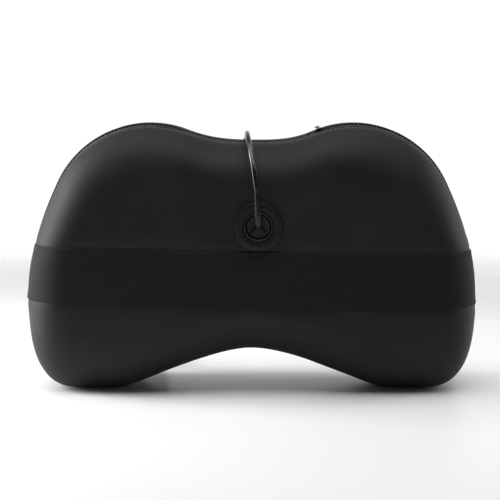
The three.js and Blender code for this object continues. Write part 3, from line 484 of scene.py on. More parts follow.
def spacer_mesh():
    f = Finish("spacer_mesh", roughness=0.82, Sheen_Weight=0.25, Sheen_Roughness=0.5)
    flat = f.add("SeparateXYZ", Vector=f.add("UVMap").outputs[0])
    across, up = flat.outputs[0], flat.outputs[1]
    turn = 4 * math.pi / (math.sqrt(3) * MESH_PITCH)
    total = None
    for degrees in (90, 210, 330):
        angle = math.radians(degrees)
        sideways = f.math("MULTIPLY", across, turn * math.cos(angle))
        upward = f.math("MULTIPLY", up, turn * math.sin(angle))
        along = f.math("ADD", sideways, upward)
        wave = f.math("COSINE", along)
        total = wave if total is None else f.math("ADD", total, wave)
    hole = f.between(total, 0, 1, 0.2, 2.2)
    yarn = f.noise(0.35 * MM, 3, 0.6)
    cloth = f.mix(yarn, linear(26, 26, 28), linear(44, 44, 47))
    # The holes are painted near-black: painted shade in their depth, which the bump alone doesn't cast.
    f.colour(f.mix(hole, cloth, linear(7, 7, 8)))
    return f.bumps((f.math("SUBTRACT", 1.0, hole), 0.7 * MM), (yarn, 0.06 * MM))


SPACER_MESH = spacer_mesh()


# %% [markdown]
# ## The elastic strap, the zip tape and other woven things
# Elastic is knitted in narrow ribs. The ribs themselves are modelled, so the finish adds only
# what is smaller: the yarn that crosses each rib, and a little fluff. Woven tape is a plain
# twill of two crossed waves.

# %% Woven finishes
def woven(name, dark, light, pitch, roughness=0.75, depth=0.05 * MM, sheen=0.2, specular=0.5):
    f = Finish(name, roughness, Specular_IOR_Level=specular, Sheen_Weight=sheen, Sheen_Roughness=0.4)
    parts = f.add("SeparateXYZ", Vector=f.place)
    turn = 2 * math.pi / pitch
    sideways, inward, upward = (f.math("MULTIPLY", parts.outputs[k], turn) for k in range(3))
    lines = f.math("ADD", sideways, inward)
    twill = f.math("ADD", f.math("SINE", lines), f.math("COSINE", upward))
    thread = f.between(twill, 0, 1, -2, 2)
    fluff = f.noise(0.3 * MM, 3, 0.6)
    # The weave's low places are painted darker and its crests lighter: painted shade and highlight. The
    # fluff varies the tone at random.
    shade = f.math("MULTIPLY", thread, f.between(fluff, 0.7, 1.1))
    f.colour(f.mix(shade, linear(*dark), linear(*light)))
    return f.bumps((thread, depth), (fluff, 0.02 * MM))


ELASTIC = woven(
    "elastic_knit", (17, 17, 17), (29, 29, 28), 0.75 * MM, 0.75, 0.04 * MM, sheen=0.03, specular=0.2
)
ZIP_TAPE = woven("zip_tape", (20, 20, 22), (52, 52, 56), 0.5 * MM, 0.7)
LOOP_TAPE = woven("loop_tape", (14, 14, 15), (30, 30, 32), 0.6 * MM, 0.85, 0.08 * MM)
LINER = woven("liner_cloth", (18, 18, 20), (40, 40, 43), 0.9 * MM, 0.85)
THREAD = woven("thread", (20, 20, 22), (46, 46, 50), 0.4 * MM, 0.55)


# %% [markdown]
# ## Plastics, metals and the rest
# Moulded plastic is never even: its mould is lightly eroded, so the surface has a fine tooth,
# and handling polishes it in patches. Metals have turning marks, a worm is cut from brass,
# the wheels are moulded nylon. One function makes the plastics and one the metals.

# %% Plastics and metals
def plastic(name, colour, roughness, tooth=0.02 * MM, coat=0.0, subsurface=0.0, specular=0.5, edge=1.18):
    f = Finish(
        name,
        Specular_IOR_Level=specular,
        Coat_Weight=coat,
        Coat_Roughness=0.12,
        Subsurface_Weight=subsurface,
        Subsurface_Scale=2 * MM,
    )
    patch = f.noise(14 * MM, 3)
    grain = f.noise(0.35 * MM, 2)
    tint = linear(*colour)
    lighter = [min(1.0, c * edge) for c in tint[:3]] + [1]
    f.colour(f.mix(f.between(patch, 0, 1, 0.3, 0.7), tint, lighter))
    f.rough(f.between(f.math("ADD", patch, grain), roughness - 0.06, roughness + 0.06, 0.6, 1.4))
    return f.bumps((grain, tooth), (patch, 0.02 * MM))


def metal(name, colour, roughness, stretch=(1, 30, 1)):
    f = Finish(name, metallic=1.0)
    marks = f.add("Mapping", Vector=f.place, Scale=stretch).outputs[0]
    scratch = f.noise(0.6 * MM, 4, 0.6, place=marks)
    patch = f.noise(9 * MM, 2)
    tint = linear(*colour)
    darker = [0.8 * c for c in tint[:3]] + [1]
    f.colour(f.mix(patch, darker, tint))
    f.rough(f.between(scratch, roughness - 0.08, roughness + 0.1, 0.3, 0.7))
    return f.bumps((scratch, 0.01 * MM))


BLACK_PLASTIC = plastic("black_plastic", (20, 20, 21), 0.42, 0.03 * MM)
SATIN_BLACK = plastic("satin_black", (11, 11, 12), 0.5, 0.01 * MM, specular=0.3)
# Near-black plates for the plug's finger slots: painted shade in place of their depth.
SLOT_SHADE_BLACK = plastic("slot_shade_black", (3, 3, 3), 0.7, 0.01 * MM, specular=0.1)
GLOSS_BLACK = plastic("gloss_black", (13, 13, 14), 0.2, 0.004 * MM, coat=0.4)
JACKET = plastic("lead_jacket", (12, 12, 13), 0.2, 0.005 * MM, coat=0.4)
RUBBER = plastic("relief_rubber", (13, 13, 14), 0.36, 0.01 * MM, specular=0.4)
CASE_PLASTIC = plastic("case_plastic", (205, 205, 200), 0.5, 0.03 * MM)
HEAD_PLASTIC = plastic("head_plastic", (170, 52, 42), 0.32, 0.02 * MM, subsurface=0.1)
NYLON = plastic("nylon", (226, 222, 206), 0.48, 0.02 * MM, subsurface=0.15)
LENS = plastic("red_lens", (150, 26, 20), 0.12, 0.002 * MM, coat=0.5)
STEEL = metal("steel", (176, 178, 182), 0.3)
BRASS = metal("brass", (190, 150, 78), 0.3)
ZINC = metal("dark_zinc", (74, 74, 78), 0.34, (8, 8, 8))


# %% Board and foam
def board_finish():
    f = Finish("circuit_board", roughness=0.35, Coat_Weight=0.3)
    tracks = f.cells(2.4 * MM, "DISTANCE_TO_EDGE", 0.6)
    line = f.between(tracks, 1, 0, 0.02, 0.06)
    f.colour(f.mix(line, linear(18, 66, 38), linear(60, 118, 70)))
    return f.bumps((line, 0.05 * MM))


def foam_finish():
    f = Finish("open_foam", roughness=0.95, Sheen_Weight=0.3)
    cell = f.cells(0.9 * MM)
    big = f.cells(2.1 * MM)
    # The pores are painted darker than the cell walls: painted shade in their depth.
    f.colour(f.mix(cell, linear(58, 59, 63), linear(112, 113, 118)))
    return f.bumps((cell, 0.5 * MM), (big, 0.5 * MM))


BOARD, FOAM = board_finish(), foam_finish()
print(f"finishes: {len(bpy.data.materials)}")

# %% [markdown]
# ## Sewn shells
# A panel of the body is a shell of cloth or leather over foam. Its surface is made of rings:
# the outline where it is sewn to the band, then smaller and smaller ones that round over the
# shoulder and close on a line through the two lobes' middles. Rings give an even net of
# four-sided faces with no pole in sight, which shades smoothly; a remeshed blob wouldn't.

# %% Mesh helpers
def mesh_object(name, places, faces, material=None, flat=None):
    """A mesh from its points and faces, with an optional flattened pattern as its UV map."""
    data = bpy.data.meshes.new(name)
    data.from_pydata([tuple(p) for p in places], [], [tuple(int(i) for i in f) for f in faces])
    if flat is not None:
        pattern = data.uv_layers.new(name="pattern")
        corner = np.zeros(len(data.loops), int)
        data.loops.foreach_get("vertex_index", corner)
        pattern.data.foreach_set("uv", np.asarray(flat, np.float32)[corner].ravel())
    data.polygons.foreach_set("use_smooth", [True] * len(data.polygons))
    if material:
        data.materials.append(material)
    obj = bpy.data.objects.new(name, data)
    bpy.context.scene.collection.objects.link(obj)
    return obj


def net(rows, columns, wrap_rows=False, wrap_columns=False):
    """Four-sided faces over a net of points, row by row."""
    r = np.arange(rows if wrap_rows else rows - 1)
    c = np.arange(columns if wrap_columns else columns - 1)
    r, c = (a.ravel() for a in np.meshgrid(r, c, indexing="ij"))
    r1, c1 = (r + 1) % rows, (c + 1) % columns
    return np.stack([r * columns + c, r * columns + c1, r1 * columns + c1, r1 * columns + c], -1)


def weld(obj, gap=0.02 * MM):
    """Joins points that lie together and turns the faces out."""
    work = bmesh.new()
    work.from_mesh(obj.data)
    bmesh.ops.remove_doubles(work, verts=work.verts, dist=gap)
    bmesh.ops.recalc_face_normals(work, faces=work.faces)
    work.to_mesh(obj.data)
    work.free()
    return obj


def thicken(obj, thickness):
    solid = obj.modifiers.new("thickness", "SOLIDIFY")
    solid.thickness = thickness
    solid.offset = -1
    return obj


def soften(obj, levels=1):
    fine = obj.modifiers.new("smooth", "SUBSURF")
    fine.levels = fine.render_levels = levels
    return obj


def bell(distance, width):
    """A smooth hump, 1 in the middle and near 0 beyond width."""
    return np.exp(-((distance / width) ** 2))


def ease(value, low, high):
    """Goes smoothly from 0 at low to 1 at high."""
    t = np.clip((value - low) / (high - low), 0, 1)
    return t * t * (3 - 2 * t)


# %% Panels as rings
# The rings lie close together by the seam, at these distances from it along the surface.
SEAM_STEPS = np.array([0, 0.5, 1.1, 1.8, 2.6, 3.4, 4.2, 5.2, 6.6, 8.6]) * MM
ROUND_STEPS = 16  # rings over the shoulder
FACE_STEPS = 14  # rings over the face
BEAD_AT, BEAD_WIDE = 1.3 * MM, 1.0 * MM
STITCH_AT, STITCH_WIDE = 3.4 * MM, 0.7 * MM
socket_low, socket_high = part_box("socket_bezel")
SOCKET = (socket_low + socket_high) / 2
SOCKET_R = (socket_high.x - socket_low.x) / 2
strap_low, strap_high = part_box("elastic_strap")


def panel_rings():
    """(share of the outline, distance from the middle plane, distance from the seam) for each ring."""
    reach = FACE_Y - BAND_HALF
    seam_turns = SEAM_STEPS / reach
    turns = np.concatenate([seam_turns, np.linspace(seam_turns[-1], math.pi / 2, ROUND_STEPS + 1)[1:]])
    shares = 1 - (1 - FACE_SHARE) * (1 - np.cos(turns))
    outs = BAND_HALF + reach * np.sin(turns)
    face = np.linspace(FACE_SHARE, 0, FACE_STEPS + 1)[1:]
    shares = np.concatenate([shares, face])
    outs = np.concatenate([outs, np.full(len(face), FACE_Y)])
    seam = np.concatenate([turns * reach, np.full(len(face), 1.0)])
    return shares, outs, seam


def normals_of(grid, side):
    """Outward directions over a net of rings that close round."""
    along = np.roll(grid, -1, 1) - np.roll(grid, 1, 1)
    across = np.gradient(grid, axis=0)
    normal = np.cross(along, across)
    size = np.linalg.norm(normal, axis=2, keepdims=True)
    normal = normal / np.maximum(size, 1e-12)
    facing = np.sign(normal[len(grid) // 2, :, 1].sum() * side)
    normal *= facing
    flat = size[..., 0] < 1e-12
    normal[flat] = (0, side, 0)
    return normal


LOBE_DROP, PLAIN_DROP, FRONT_DROP = 4.6 * MM, 1.0 * MM, 0.5 * MM
DROP_REACH = 9 * MM  # from the edge, over which the drop dies away


def back_drop(x, z):
    """How far the back panel's sewn edge is drawn in below the band. It is most over the lobes."""
    over_lobe = ease(z, 95 * MM, 165 * MM) * ease(np.abs(x), 42 * MM, 85 * MM)
    return PLAIN_DROP + (LOBE_DROP - PLAIN_DROP) * over_lobe


def front_drop(x, z):
    """The front cover's edge is drawn in evenly all round."""
    return np.full(np.broadcast(x, z).shape, FRONT_DROP)


def edge_drop(seam):
    """The share of that drop which is left, seam metres in from the edge."""
    return bell(seam, DROP_REACH)


# The edge is turned in and sewn: its first rings, as (inset, distance out from the band) in mm.
TURNED_EDGE = ((2.1, 0.35), (1.2, 0.1), (0.45, 0.12))


def panel(name, side, material, raise_by, wall, drop):
    """One side's panel. raise_by(x, z, share, seam) is how far the cloth stands off the plain shape."""
    shares, outs, seam = panel_rings()
    x = LOOP[None, :, 0] * (SPINE_SHARE + (1 - SPINE_SHARE) * shares[:, None])
    z = SPINE_Z + (LOOP[None, :, 1] - SPINE_Z) * shares[:, None]
    y = np.broadcast_to(side * outs[:, None], x.shape)
    grid = np.stack([x, y, z], -1)
    normal = normals_of(grid, side)
    share_at, seam_at = (np.broadcast_to(v[:, None], x.shape) for v in (shares, seam))
    lift = raise_by(x, z, share_at, seam_at)
    normal[shares < FACE_SHARE - 0.01] = (0, side, 0)
    at_edge = drop(LOOP[:, 0], LOOP[:, 1])
    grid = grid + normal * (lift - edge_drop(seam)[:, None] * at_edge)[..., None]
    roll = []
    for inset, out in TURNED_EDGE:
        ring = LOOP - OUTWARD * (inset * MM + at_edge)[:, None]
        ring_y = np.full(len(ring), side * (BAND_HALF + out * MM))
        roll.append(np.stack([ring[:, 0], ring_y, ring[:, 1]], -1))
    grid = np.concatenate([np.array(roll), grid])
    # The flattened pattern: the face as it lies, and the rounding unrolled outward from it.
    face_ring = len(roll) + len(SEAM_STEPS) + ROUND_STEPS - 1
    steps = np.linalg.norm(np.diff(grid, axis=0), axis=2)
    flat = np.stack([grid[..., 0], grid[..., 2]], -1)
    away = np.zeros(grid.shape[1])
    for ring in range(face_ring - 1, -1, -1):
        away = away + steps[ring]
        flat[ring] = flat[face_ring] + OUTWARD * away[:, None]
    rows, columns = grid.shape[:2]
    faces = net(rows, columns, wrap_columns=True)
    obj = mesh_object(name, grid.reshape(-1, 3), faces, material, flat.reshape(-1, 2))
    return thicken(weld(obj), wall)


def wander(x, z):
    """The slight unevenness of foam under a tight cover."""
    return 0.22 * MM * (np.sin(x * 61 + 1.3) * np.cos(z * 83 + 0.4) + 0.6 * np.sin(x * 127 - z * 97 + 2.1))


def sewn_edge(seam):
    """A bead where the leather is turned in, and a dip where it is stitched."""
    return 0.45 * MM * bell(seam - BEAD_AT, BEAD_WIDE) - 0.3 * MM * bell(seam - STITCH_AT, STITCH_WIDE)


# %% [markdown]
# ## The back panel
# One piece of leather, drawn tight over foam. It is a little fuller in the middle of each lobe,
# it is pressed in under the elastic strap, and it is drawn down round the socket's ring. A
# cloth simulation would find such shapes by itself, but a tight skin over a firm block hardly
# moves, so the three soft dents are worked out, and the skin stays as smooth as the real one.

# %% Back panel
STRAP_Z = (strap_low.z + strap_high.z) / 2
STRAP_HALF = (strap_high.z - strap_low.z) / 2
STRAP_TILT = -3.1 * MM  # its right end is lower than its left by twice this
STRAP_LIFT, STRAP_END_LIFT = 2 * MM, 2.4 * MM
STRAP_WAIST = 2.8 * MM  # each edge draws in by this at the side seams
CROWN = 1.7 * MM
STRAP_PRESS = 1.0 * MM


def strap_middle(x):
    return STRAP_Z + STRAP_LIFT + STRAP_TILT * x / HALF + STRAP_END_LIFT * (x / HALF) ** 2


def strap_reach(x):
    """Half the strap's height."""
    return STRAP_HALF - 0.4 * MM - STRAP_WAIST * (x / HALF) ** 4


def back_lift(x, z, share, seam):
    crown = CROWN * np.clip(1 - (share / FACE_SHARE) ** 2, 0, 1) ** 2
    from_socket = np.hypot(x - SOCKET.x, z - SOCKET.z)
    crown = crown * ease(from_socket, SOCKET_R - 1 * MM, SOCKET_R + 26 * MM)
    dent = -0.5 * MM * bell(from_socket - SOCKET_R - 2 * MM, 5 * MM)
    beyond = np.abs(z - strap_middle(x)) - strap_reach(x)
    inland = ease(seam, 2 * MM, 8 * MM)
    press = -STRAP_PRESS * (1 - ease(beyond, -3 * MM, 5 * MM)) * inland
    swell = 0.35 * MM * bell(beyond - 9 * MM, 6 * MM) * inland
    return crown + dent + press + swell + wander(x, z) * inland + sewn_edge(seam)


WALL = 1.3 * MM
back_panel = panel("back_panel", -1, LEATHER, back_lift, WALL, back_drop)


def open_for_socket(obj):
    """Takes out the faces under the socket's ring, where the leather is cut round it."""
    work = bmesh.new()
    work.from_mesh(obj.data)
    inside = []
    for face in work.faces:
        middle = face.calc_center_median()
        if middle.y < 0 and math.hypot(middle.x - SOCKET.x, middle.z - SOCKET.z) < SOCKET_R - 5 * MM:
            inside.append(face)
    bmesh.ops.delete(work, geom=inside, context="FACES")
    work.to_mesh(obj.data)
    work.free()


open_for_socket(back_panel)
soften(back_panel)
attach(back_panel, "pillow")
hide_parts("back_cover")
print(f"back panel: {len(back_panel.data.polygons)} faces before smoothing")

# %% [markdown]
# ## The front cover
# The massaging side is a panel of spacer mesh over the liner and the four heads. It sits a
# little loose: it is full over the foam round the edge and dips slightly over each lobe, where
# only the liner holds it up. It takes the same rings as the back, with its own soft dents.

# %% Front cover
head_low, head_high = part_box("massage_head_right_upper")
ROTOR_X = (head_low.x + head_high.x) / 2
HEAD_ROOM = 44.5 * MM


def front_lift(x, z, share, seam):
    crown = 1.2 * MM * np.clip(1 - (share / FACE_SHARE) ** 2, 0, 1) ** 2
    from_rotor = np.hypot(np.abs(x) - ROTOR_X, z - SPINE_Z)
    rim = 0.9 * MM * bell(from_rotor - HEAD_ROOM - 3 * MM, 9 * MM)
    dip = -0.8 * MM * bell(from_rotor, 30 * MM)
    # The lead presses a shallow channel where it comes down over the cover's top edge.
    over_edge = lead_path[(lead_path[:, 1] > 10 * MM) & (lead_path[:, 2] > 150 * MM)]
    beside = np.hypot(x[..., None] - over_edge[:, 0], z[..., None] - over_edge[:, 2]).min(-1)
    channel = -1.6 * MM * bell(beside, 5 * MM)
    return crown + rim + dip + channel + 1.3 * wander(x, z) * ease(seam, 2 * MM, 9 * MM) + sewn_edge(seam)


front_panel = soften(panel("front_panel", 1, SPACER_MESH, front_lift, 1.8 * MM, front_drop))
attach(front_panel, "pillow")
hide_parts("front_cover")
print(f"front cover: {len(front_panel.data.polygons)} faces before smoothing")

# %% [markdown]
# ## The band round the body
# Between the panels runs a band of the same leather. It is sewn to the front cover on one side
# and carries the zip on the other. Band, zip tape and piping all have one section carried
# round the outline, so one function makes them: it takes a closed section of (inset, y) points
# and a stretch of the outline.

# %% Sections carried round the outline
dense = np.concatenate([BOTTOM, TOP[-2:0:-1]])
dense = dense[np.linalg.norm(np.roll(dense, -1, 0) - dense, axis=1) > 1e-7]
run = np.concatenate([[0], np.cumsum(np.linalg.norm(np.roll(dense, -1, 0) - dense, axis=1))])
ROUND = run[-1]


def on_outline(at):
    """Points of the outline at given distances along it, counter-clockwise from its left end."""
    closed = np.concatenate([dense, dense[:1]])
    at = np.asarray(at, float) % ROUND
    return np.stack([np.interp(at, run, closed[:, 0]), np.interp(at, run, closed[:, 1])], -1)


def facing_out(at):
    ahead, behind = on_outline(np.asarray(at) + 1.5 * MM), on_outline(np.asarray(at) - 1.5 * MM)
    along = ahead - behind
    out = np.stack([along[:, 1], -along[:, 0]], -1)
    return out / np.linalg.norm(out, axis=1)[:, None]


def distance_at(x, top=True):
    """How far along the outline its top or bottom has this x."""
    at = np.linspace(0, ROUND, 4000, endpoint=False)
    points = on_outline(at)
    side = points[:, 1] > SPINE_Z if top else points[:, 1] < SPINE_Z
    found = np.where(side, np.abs(points[:, 0] - x), 9)
    return at[int(np.argmin(found))]


def leaning(points, y):
    """How far the zip leans down towards the back panel's edge, at places on the outline."""
    towards = np.clip((-8.6 * MM - np.asarray(y)) / (5.3 * MM), 0, 1)
    return back_drop(points[..., 0], points[..., 1]) * towards


def carried(name, section, material, start=0.0, length=None, step=3 * MM, ends=None):
    """A closed section of (inset, y) points, carried round the outline. ends(share) scales its height."""
    closed = length is None
    count = int(round((ROUND if closed else length) / step))
    at = start + np.linspace(0, ROUND if closed else length, count, endpoint=not closed)
    points, out = on_outline(at), facing_out(at)
    section = np.array(section, float)
    middle = section.mean(0)
    rings = []
    for i in range(count):
        size = 1.0 if ends is None else ends(i / (count - 1))
        inset = middle[0] + (section[:, 0] - middle[0]) * size
        y = middle[1] + (section[:, 1] - middle[1]) * (0.5 + 0.5 * size)
        place = points[i] - out[i] * (inset + leaning(points[i], y))[:, None]
        rings.append(np.stack([place[:, 0], y, place[:, 1]], -1))
    faces = [tuple(f) for f in net(count, len(section), wrap_rows=closed, wrap_columns=True)]
    if not closed:
        faces.append(tuple(range(len(section))))
        faces.append(tuple(range((count - 1) * len(section), count * len(section)))[::-1])
    return weld(mesh_object(name, np.concatenate(rings), faces, material), gap=0.001 * MM)


# %% Leather band
gusset_low, gusset_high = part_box("gusset_band")


def band_section():
    """Both edges of the band are turned in; the middle is a little full."""
    low, high = gusset_low.y, gusset_high.y
    near = np.array([0, 0.5, 1.2, 2.0, 2.8, 3.4, 4.0]) * MM  # from either edge
    middle = np.linspace(low + 7 * MM, high - 5 * MM, 5)
    y = np.concatenate([low + near, [low + 5 * MM], middle, high - near[::-1]])
    edge = np.minimum(y - low, high - y)
    full = 0.35 * MM * np.sin(math.pi * (y - low) / (high - low))
    lift = sewn_edge(edge) + full - 0.5 * MM * bell(edge, 0.5 * MM)
    outer = np.stack([-lift, y], -1)
    inner = [(2.0 * MM, high - 0.1 * MM), (2.0 * MM, (low + high) / 2), (2.0 * MM, low + 0.1 * MM)]
    return np.concatenate([outer, inner])


band = carried("leather_band", band_section(), LEATHER, step=2.5 * MM)
control_low, control_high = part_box("control_strip")


def open_for_controls(obj):
    """Takes out the faces under the control strip."""
    middle = (control_low + control_high) / 2
    tall = (control_high.z - control_low.z) / 2 - 4.5 * MM
    wide = (control_high.y - control_low.y) / 2 - 2.4 * MM
    work = bmesh.new()
    work.from_mesh(obj.data)
    inside = []
    for face in work.faces:
        p = face.calc_center_median() - middle
        straight = max(0.0, abs(p.z) - (tall - wide))
        if p.x > -30 * MM and math.hypot(p.y, straight) < wide and p.x + middle.x > 140 * MM:
            inside.append(face)
    bmesh.ops.delete(work, geom=inside, context="FACES")
    work.to_mesh(obj.data)
    work.free()


open_for_controls(band)
soften(band)
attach(band, "pillow")
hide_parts("gusset_band")
print(f"band: {len(band.data.polygons)} faces, outline {ROUND:.3f} m round")

# %% [markdown]
# ## The zip
# A closed-end zip runs round the back panel's edge, apart from a short leather flap in the
# saddle, so that the cover can be taken off. Its tape lies a millimetre below the leather on
# both sides, and its teeth stand on it in two interlocked rows. The teeth could be a bump, but
# they catch the light along the top of each lobe, so each one is a small rounded peg.

# %% Zip tape and teeth
ZIP_Y = -10 * MM
FLAP_FROM, FLAP_TO = distance_at(45 * MM), distance_at(-33 * MM)
ZIP_LENGTH = ROUND - (FLAP_TO - FLAP_FROM)
TAPE_INSET, TAPE_THICK, TAPE_HALF = 1.3 * MM, 0.6 * MM, 3.9 * MM
TAPE_DIP = 0.5 * MM  # in its middle, where its two halves meet
TOOTH_PITCH = 1.5 * MM
TOOTH_INSET = 0.3 * MM

tape_across = np.array([-3.9, -2.0, -0.4, 0, 0.4, 2.0, 3.9]) * MM
tape_outer = [(TAPE_INSET + (TAPE_DIP if y == 0 else 0), ZIP_Y + y) for y in tape_across]
tape_under = TAPE_INSET + TAPE_THICK + TAPE_DIP
tape_inner = [(tape_under, ZIP_Y + TAPE_HALF), (tape_under, ZIP_Y - TAPE_HALF)]
zip_tape = carried("zip_tape", tape_outer + tape_inner, ZIP_TAPE, FLAP_TO, ZIP_LENGTH)


def pegs(name, at, shape, levels, material, offset):
    """Small pegs on the outline. shape is (along, across) points; levels are (height, size)."""
    points, out = on_outline(at), facing_out(at)
    along = np.stack([-out[:, 1], out[:, 0]], -1)
    shape = np.array(shape, float)
    count = len(shape)
    places, faces = [], []
    for i in range(len(at)):
        base = len(places)
        side = -1 if i % 2 else 1
        for height, size in levels:
            for a, b in shape:
                y = ZIP_Y + side * (offset + b * size)
                flat = points[i] + along[i] * a * size + out[i] * (height - leaning(points[i], y))
                places.append((flat[0], y, flat[1]))
        for level in range(len(levels) - 1):
            for k in range(count):
                n = (k + 1) % count
                ring = base + level * count
                faces.append((ring + k, ring + n, ring + count + n, ring + count + k))
        faces.append(tuple(base + (len(levels) - 1) * count + k for k in range(count)))
        faces.append(tuple(base + k for k in range(count))[::-1])
    return weld(mesh_object(name, places, faces, material), gap=1e-6)


tooth_half = [(0.45, -1.5), (0.45, 0.2), (0.6, 0.7), (0.3, 1.25)]
tooth_other = [(-a, b) for a, b in tooth_half[::-1]]
tooth_shape = np.array([tooth_other[-1], *tooth_half, *tooth_other[:-1]]) * MM
tooth_levels = [(-TAPE_INSET - 0.1 * MM, 1.0), (-TOOTH_INSET - 0.3 * MM, 1.0), (-TOOTH_INSET, 0.72)]
tooth_at = FLAP_TO + np.arange(2.5 * MM, ZIP_LENGTH - 2 * MM, TOOTH_PITCH)
zip_teeth = pegs("zip_teeth", tooth_at, tooth_shape, tooth_levels, ZINC, -0.55 * MM)
for piece in (zip_tape, zip_teeth):
    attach(piece, "pillow")
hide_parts("zip_chain")
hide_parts("zip_chain")
print(f"zip: {ZIP_LENGTH:.3f} m long, {len(tooth_at)} teeth")

# %% [markdown]
# ## Stitching
# A row of stitches holds each turned edge down: one in the panel and one in the band. Each
# stitch is a short bead of thread that dips at both ends, which reads as sewing from every side.

# %% Stitches
STITCH_LENGTH, STITCH_GAP, STITCH_THICK = 2.7 * MM, 0.9 * MM, 0.26 * MM
STITCH_SIDES = 6
STITCH_RISE = 0.6 * MM
STITCH_SUNK = 0.12 * MM  # the thread is pulled this far into the leather
# Along a bead: (share of its length, share of its thickness, share of its rise).
BEAD = ((0, 0.25, -0.3), (0.12, 0.85, -0.05), (0.5, 1.0, 0.12), (0.88, 0.85, -0.05), (1, 0.25, -0.3))


def on_panel(points, side, seam):
    """Places on a panel's rounded shoulder, seam metres in from its sewn edge."""
    reach = FACE_Y - BAND_HALF
    turn = seam / reach
    share = 1 - (1 - FACE_SHARE) * (1 - math.cos(turn))
    x = points[:, 0] * (SPINE_SHARE + (1 - SPINE_SHARE) * share)
    z = SPINE_Z + (points[:, 1] - SPINE_Z) * share
    y = np.full(len(x), side * (BAND_HALF + reach * math.sin(turn)))
    return np.stack([x, y, z], -1)


def stitches(name, place_at):
    """Beads of thread round the outline. place_at(distances, height) gives places in space."""
    pitch = STITCH_LENGTH + STITCH_GAP
    first = np.arange(int(ROUND / pitch)) * pitch
    rings = []
    for share, size, up in BEAD:
        at = first + share * STITCH_LENGTH
        middle = place_at(at, up * STITCH_RISE)
        ahead = place_at(at + 0.5 * MM, up * STITCH_RISE) - middle
        above = place_at(at, up * STITCH_RISE + 0.5 * MM) - middle
        ahead /= np.linalg.norm(ahead, axis=1)[:, None]
        above -= ahead * (above * ahead).sum(1)[:, None]
        above /= np.linalg.norm(above, axis=1)[:, None]
        beside = np.cross(ahead, above)
        ring = []
        for k in range(STITCH_SIDES):
            angle = 2 * math.pi * k / STITCH_SIDES
            ring.append(middle + STITCH_THICK * size * (above * math.cos(angle) + beside * math.sin(angle)))
        rings.append(np.stack(ring, 1))
    grid = np.stack(rings, 1)  # stitch, ring, side, xyz
    count, rows, sides = grid.shape[:3]
    faces = []
    one = [tuple(f) for f in net(rows, sides, wrap_columns=True)]
    one += [tuple(range(sides))[::-1], tuple((rows - 1) * sides + k for k in range(sides))]
    for i in range(count):
        faces += [tuple(v + i * rows * sides for v in f) for f in one]
    obj = weld(mesh_object(name, grid.reshape(-1, 3), faces, THREAD), gap=1e-6)
    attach(obj, "pillow")
    return obj


def panel_stitch_place(side, drop):
    """Places along a panel's stitch line."""

    def place(at, height):
        points, out = on_outline(at), facing_out(at)
        base = on_panel(points, side, STITCH_AT)
        sunk = edge_drop(STITCH_AT) * drop(points[:, 0], points[:, 1])
        base = base - sunk[:, None] * np.stack([out[:, 0], 0 * at, out[:, 1]], -1)
        lift = height - STITCH_SUNK
        lean_out = np.full(len(at), side * lift * 0.2)
        return base + np.stack([out[:, 0] * lift, lean_out, out[:, 1] * lift], -1)

    return place


def band_stitch_place(y):
    """Places along a stitch line on the band."""

    def place(at, height):
        points, out = on_outline(at), facing_out(at)
        flat = points + out * (height - STITCH_SUNK)
        return np.stack([flat[:, 0], np.full(len(at), y), flat[:, 1]], -1)

    return place


stitch_rows = [
    stitches("panel_stitches", panel_stitch_place(-1, back_drop)),
    stitches("front_stitches", panel_stitch_place(1, front_drop)),
    stitches("band_stitches", band_stitch_place(gusset_low.y + STITCH_AT)),
    stitches("band_front_stitches", band_stitch_place(gusset_high.y - STITCH_AT)),
]
print(f"stitches: {sum(len(row.data.polygons) for row in stitch_rows)} faces")

# %% [markdown]
# ## The flap in the saddle
# Between the zip's two ends lies a plain strip of leather, a touch proud of its neighbours. Its
# ends are tucked down into the zip's channel, which leaves a small dark hollow at each of them.

# %% Saddle flap
FLAP_HALF = 3.95 * MM
flap_y = np.linspace(-FLAP_HALF, FLAP_HALF, 9)
flap_rise = 0.75 * MM - 0.9 * MM * (np.abs(flap_y) / FLAP_HALF) ** 4
flap_section = [(-rise, ZIP_Y + y) for rise, y in zip(flap_rise, flap_y)]
flap_section += [(1.6 * MM, ZIP_Y + 3.7 * MM), (1.6 * MM, ZIP_Y - 3.7 * MM)]


def flap_ends(share):
    """The right end is tucked in over a longer stretch than the left."""
    length = (FLAP_TO - FLAP_FROM) / MM
    right, left = share * length, (1 - share) * length
    return float(0.3 + 0.7 * ease(right, 0.2, 3.0) * ease(left, 0.2, 1.4))


flap_start, flap_length = FLAP_FROM + 0.6 * MM, FLAP_TO - FLAP_FROM - 1.0 * MM
flap = carried("saddle_flap", flap_section, LEATHER, flap_start, flap_length, 0.7 * MM, flap_ends)
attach(flap, "pillow")
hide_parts("saddle_flap")
print(f"flap: {FLAP_TO - FLAP_FROM:.3f} m long")

# %% [markdown]
# ## Slider and pull
# The zip's slider is a pair of plates with a small bridge at its side that holds the pull. It
# rides on its own body, because it travels a little way along the zip, and the pull turns over on
# a body of its own. Both are cut from flat shapes with rounded edges.

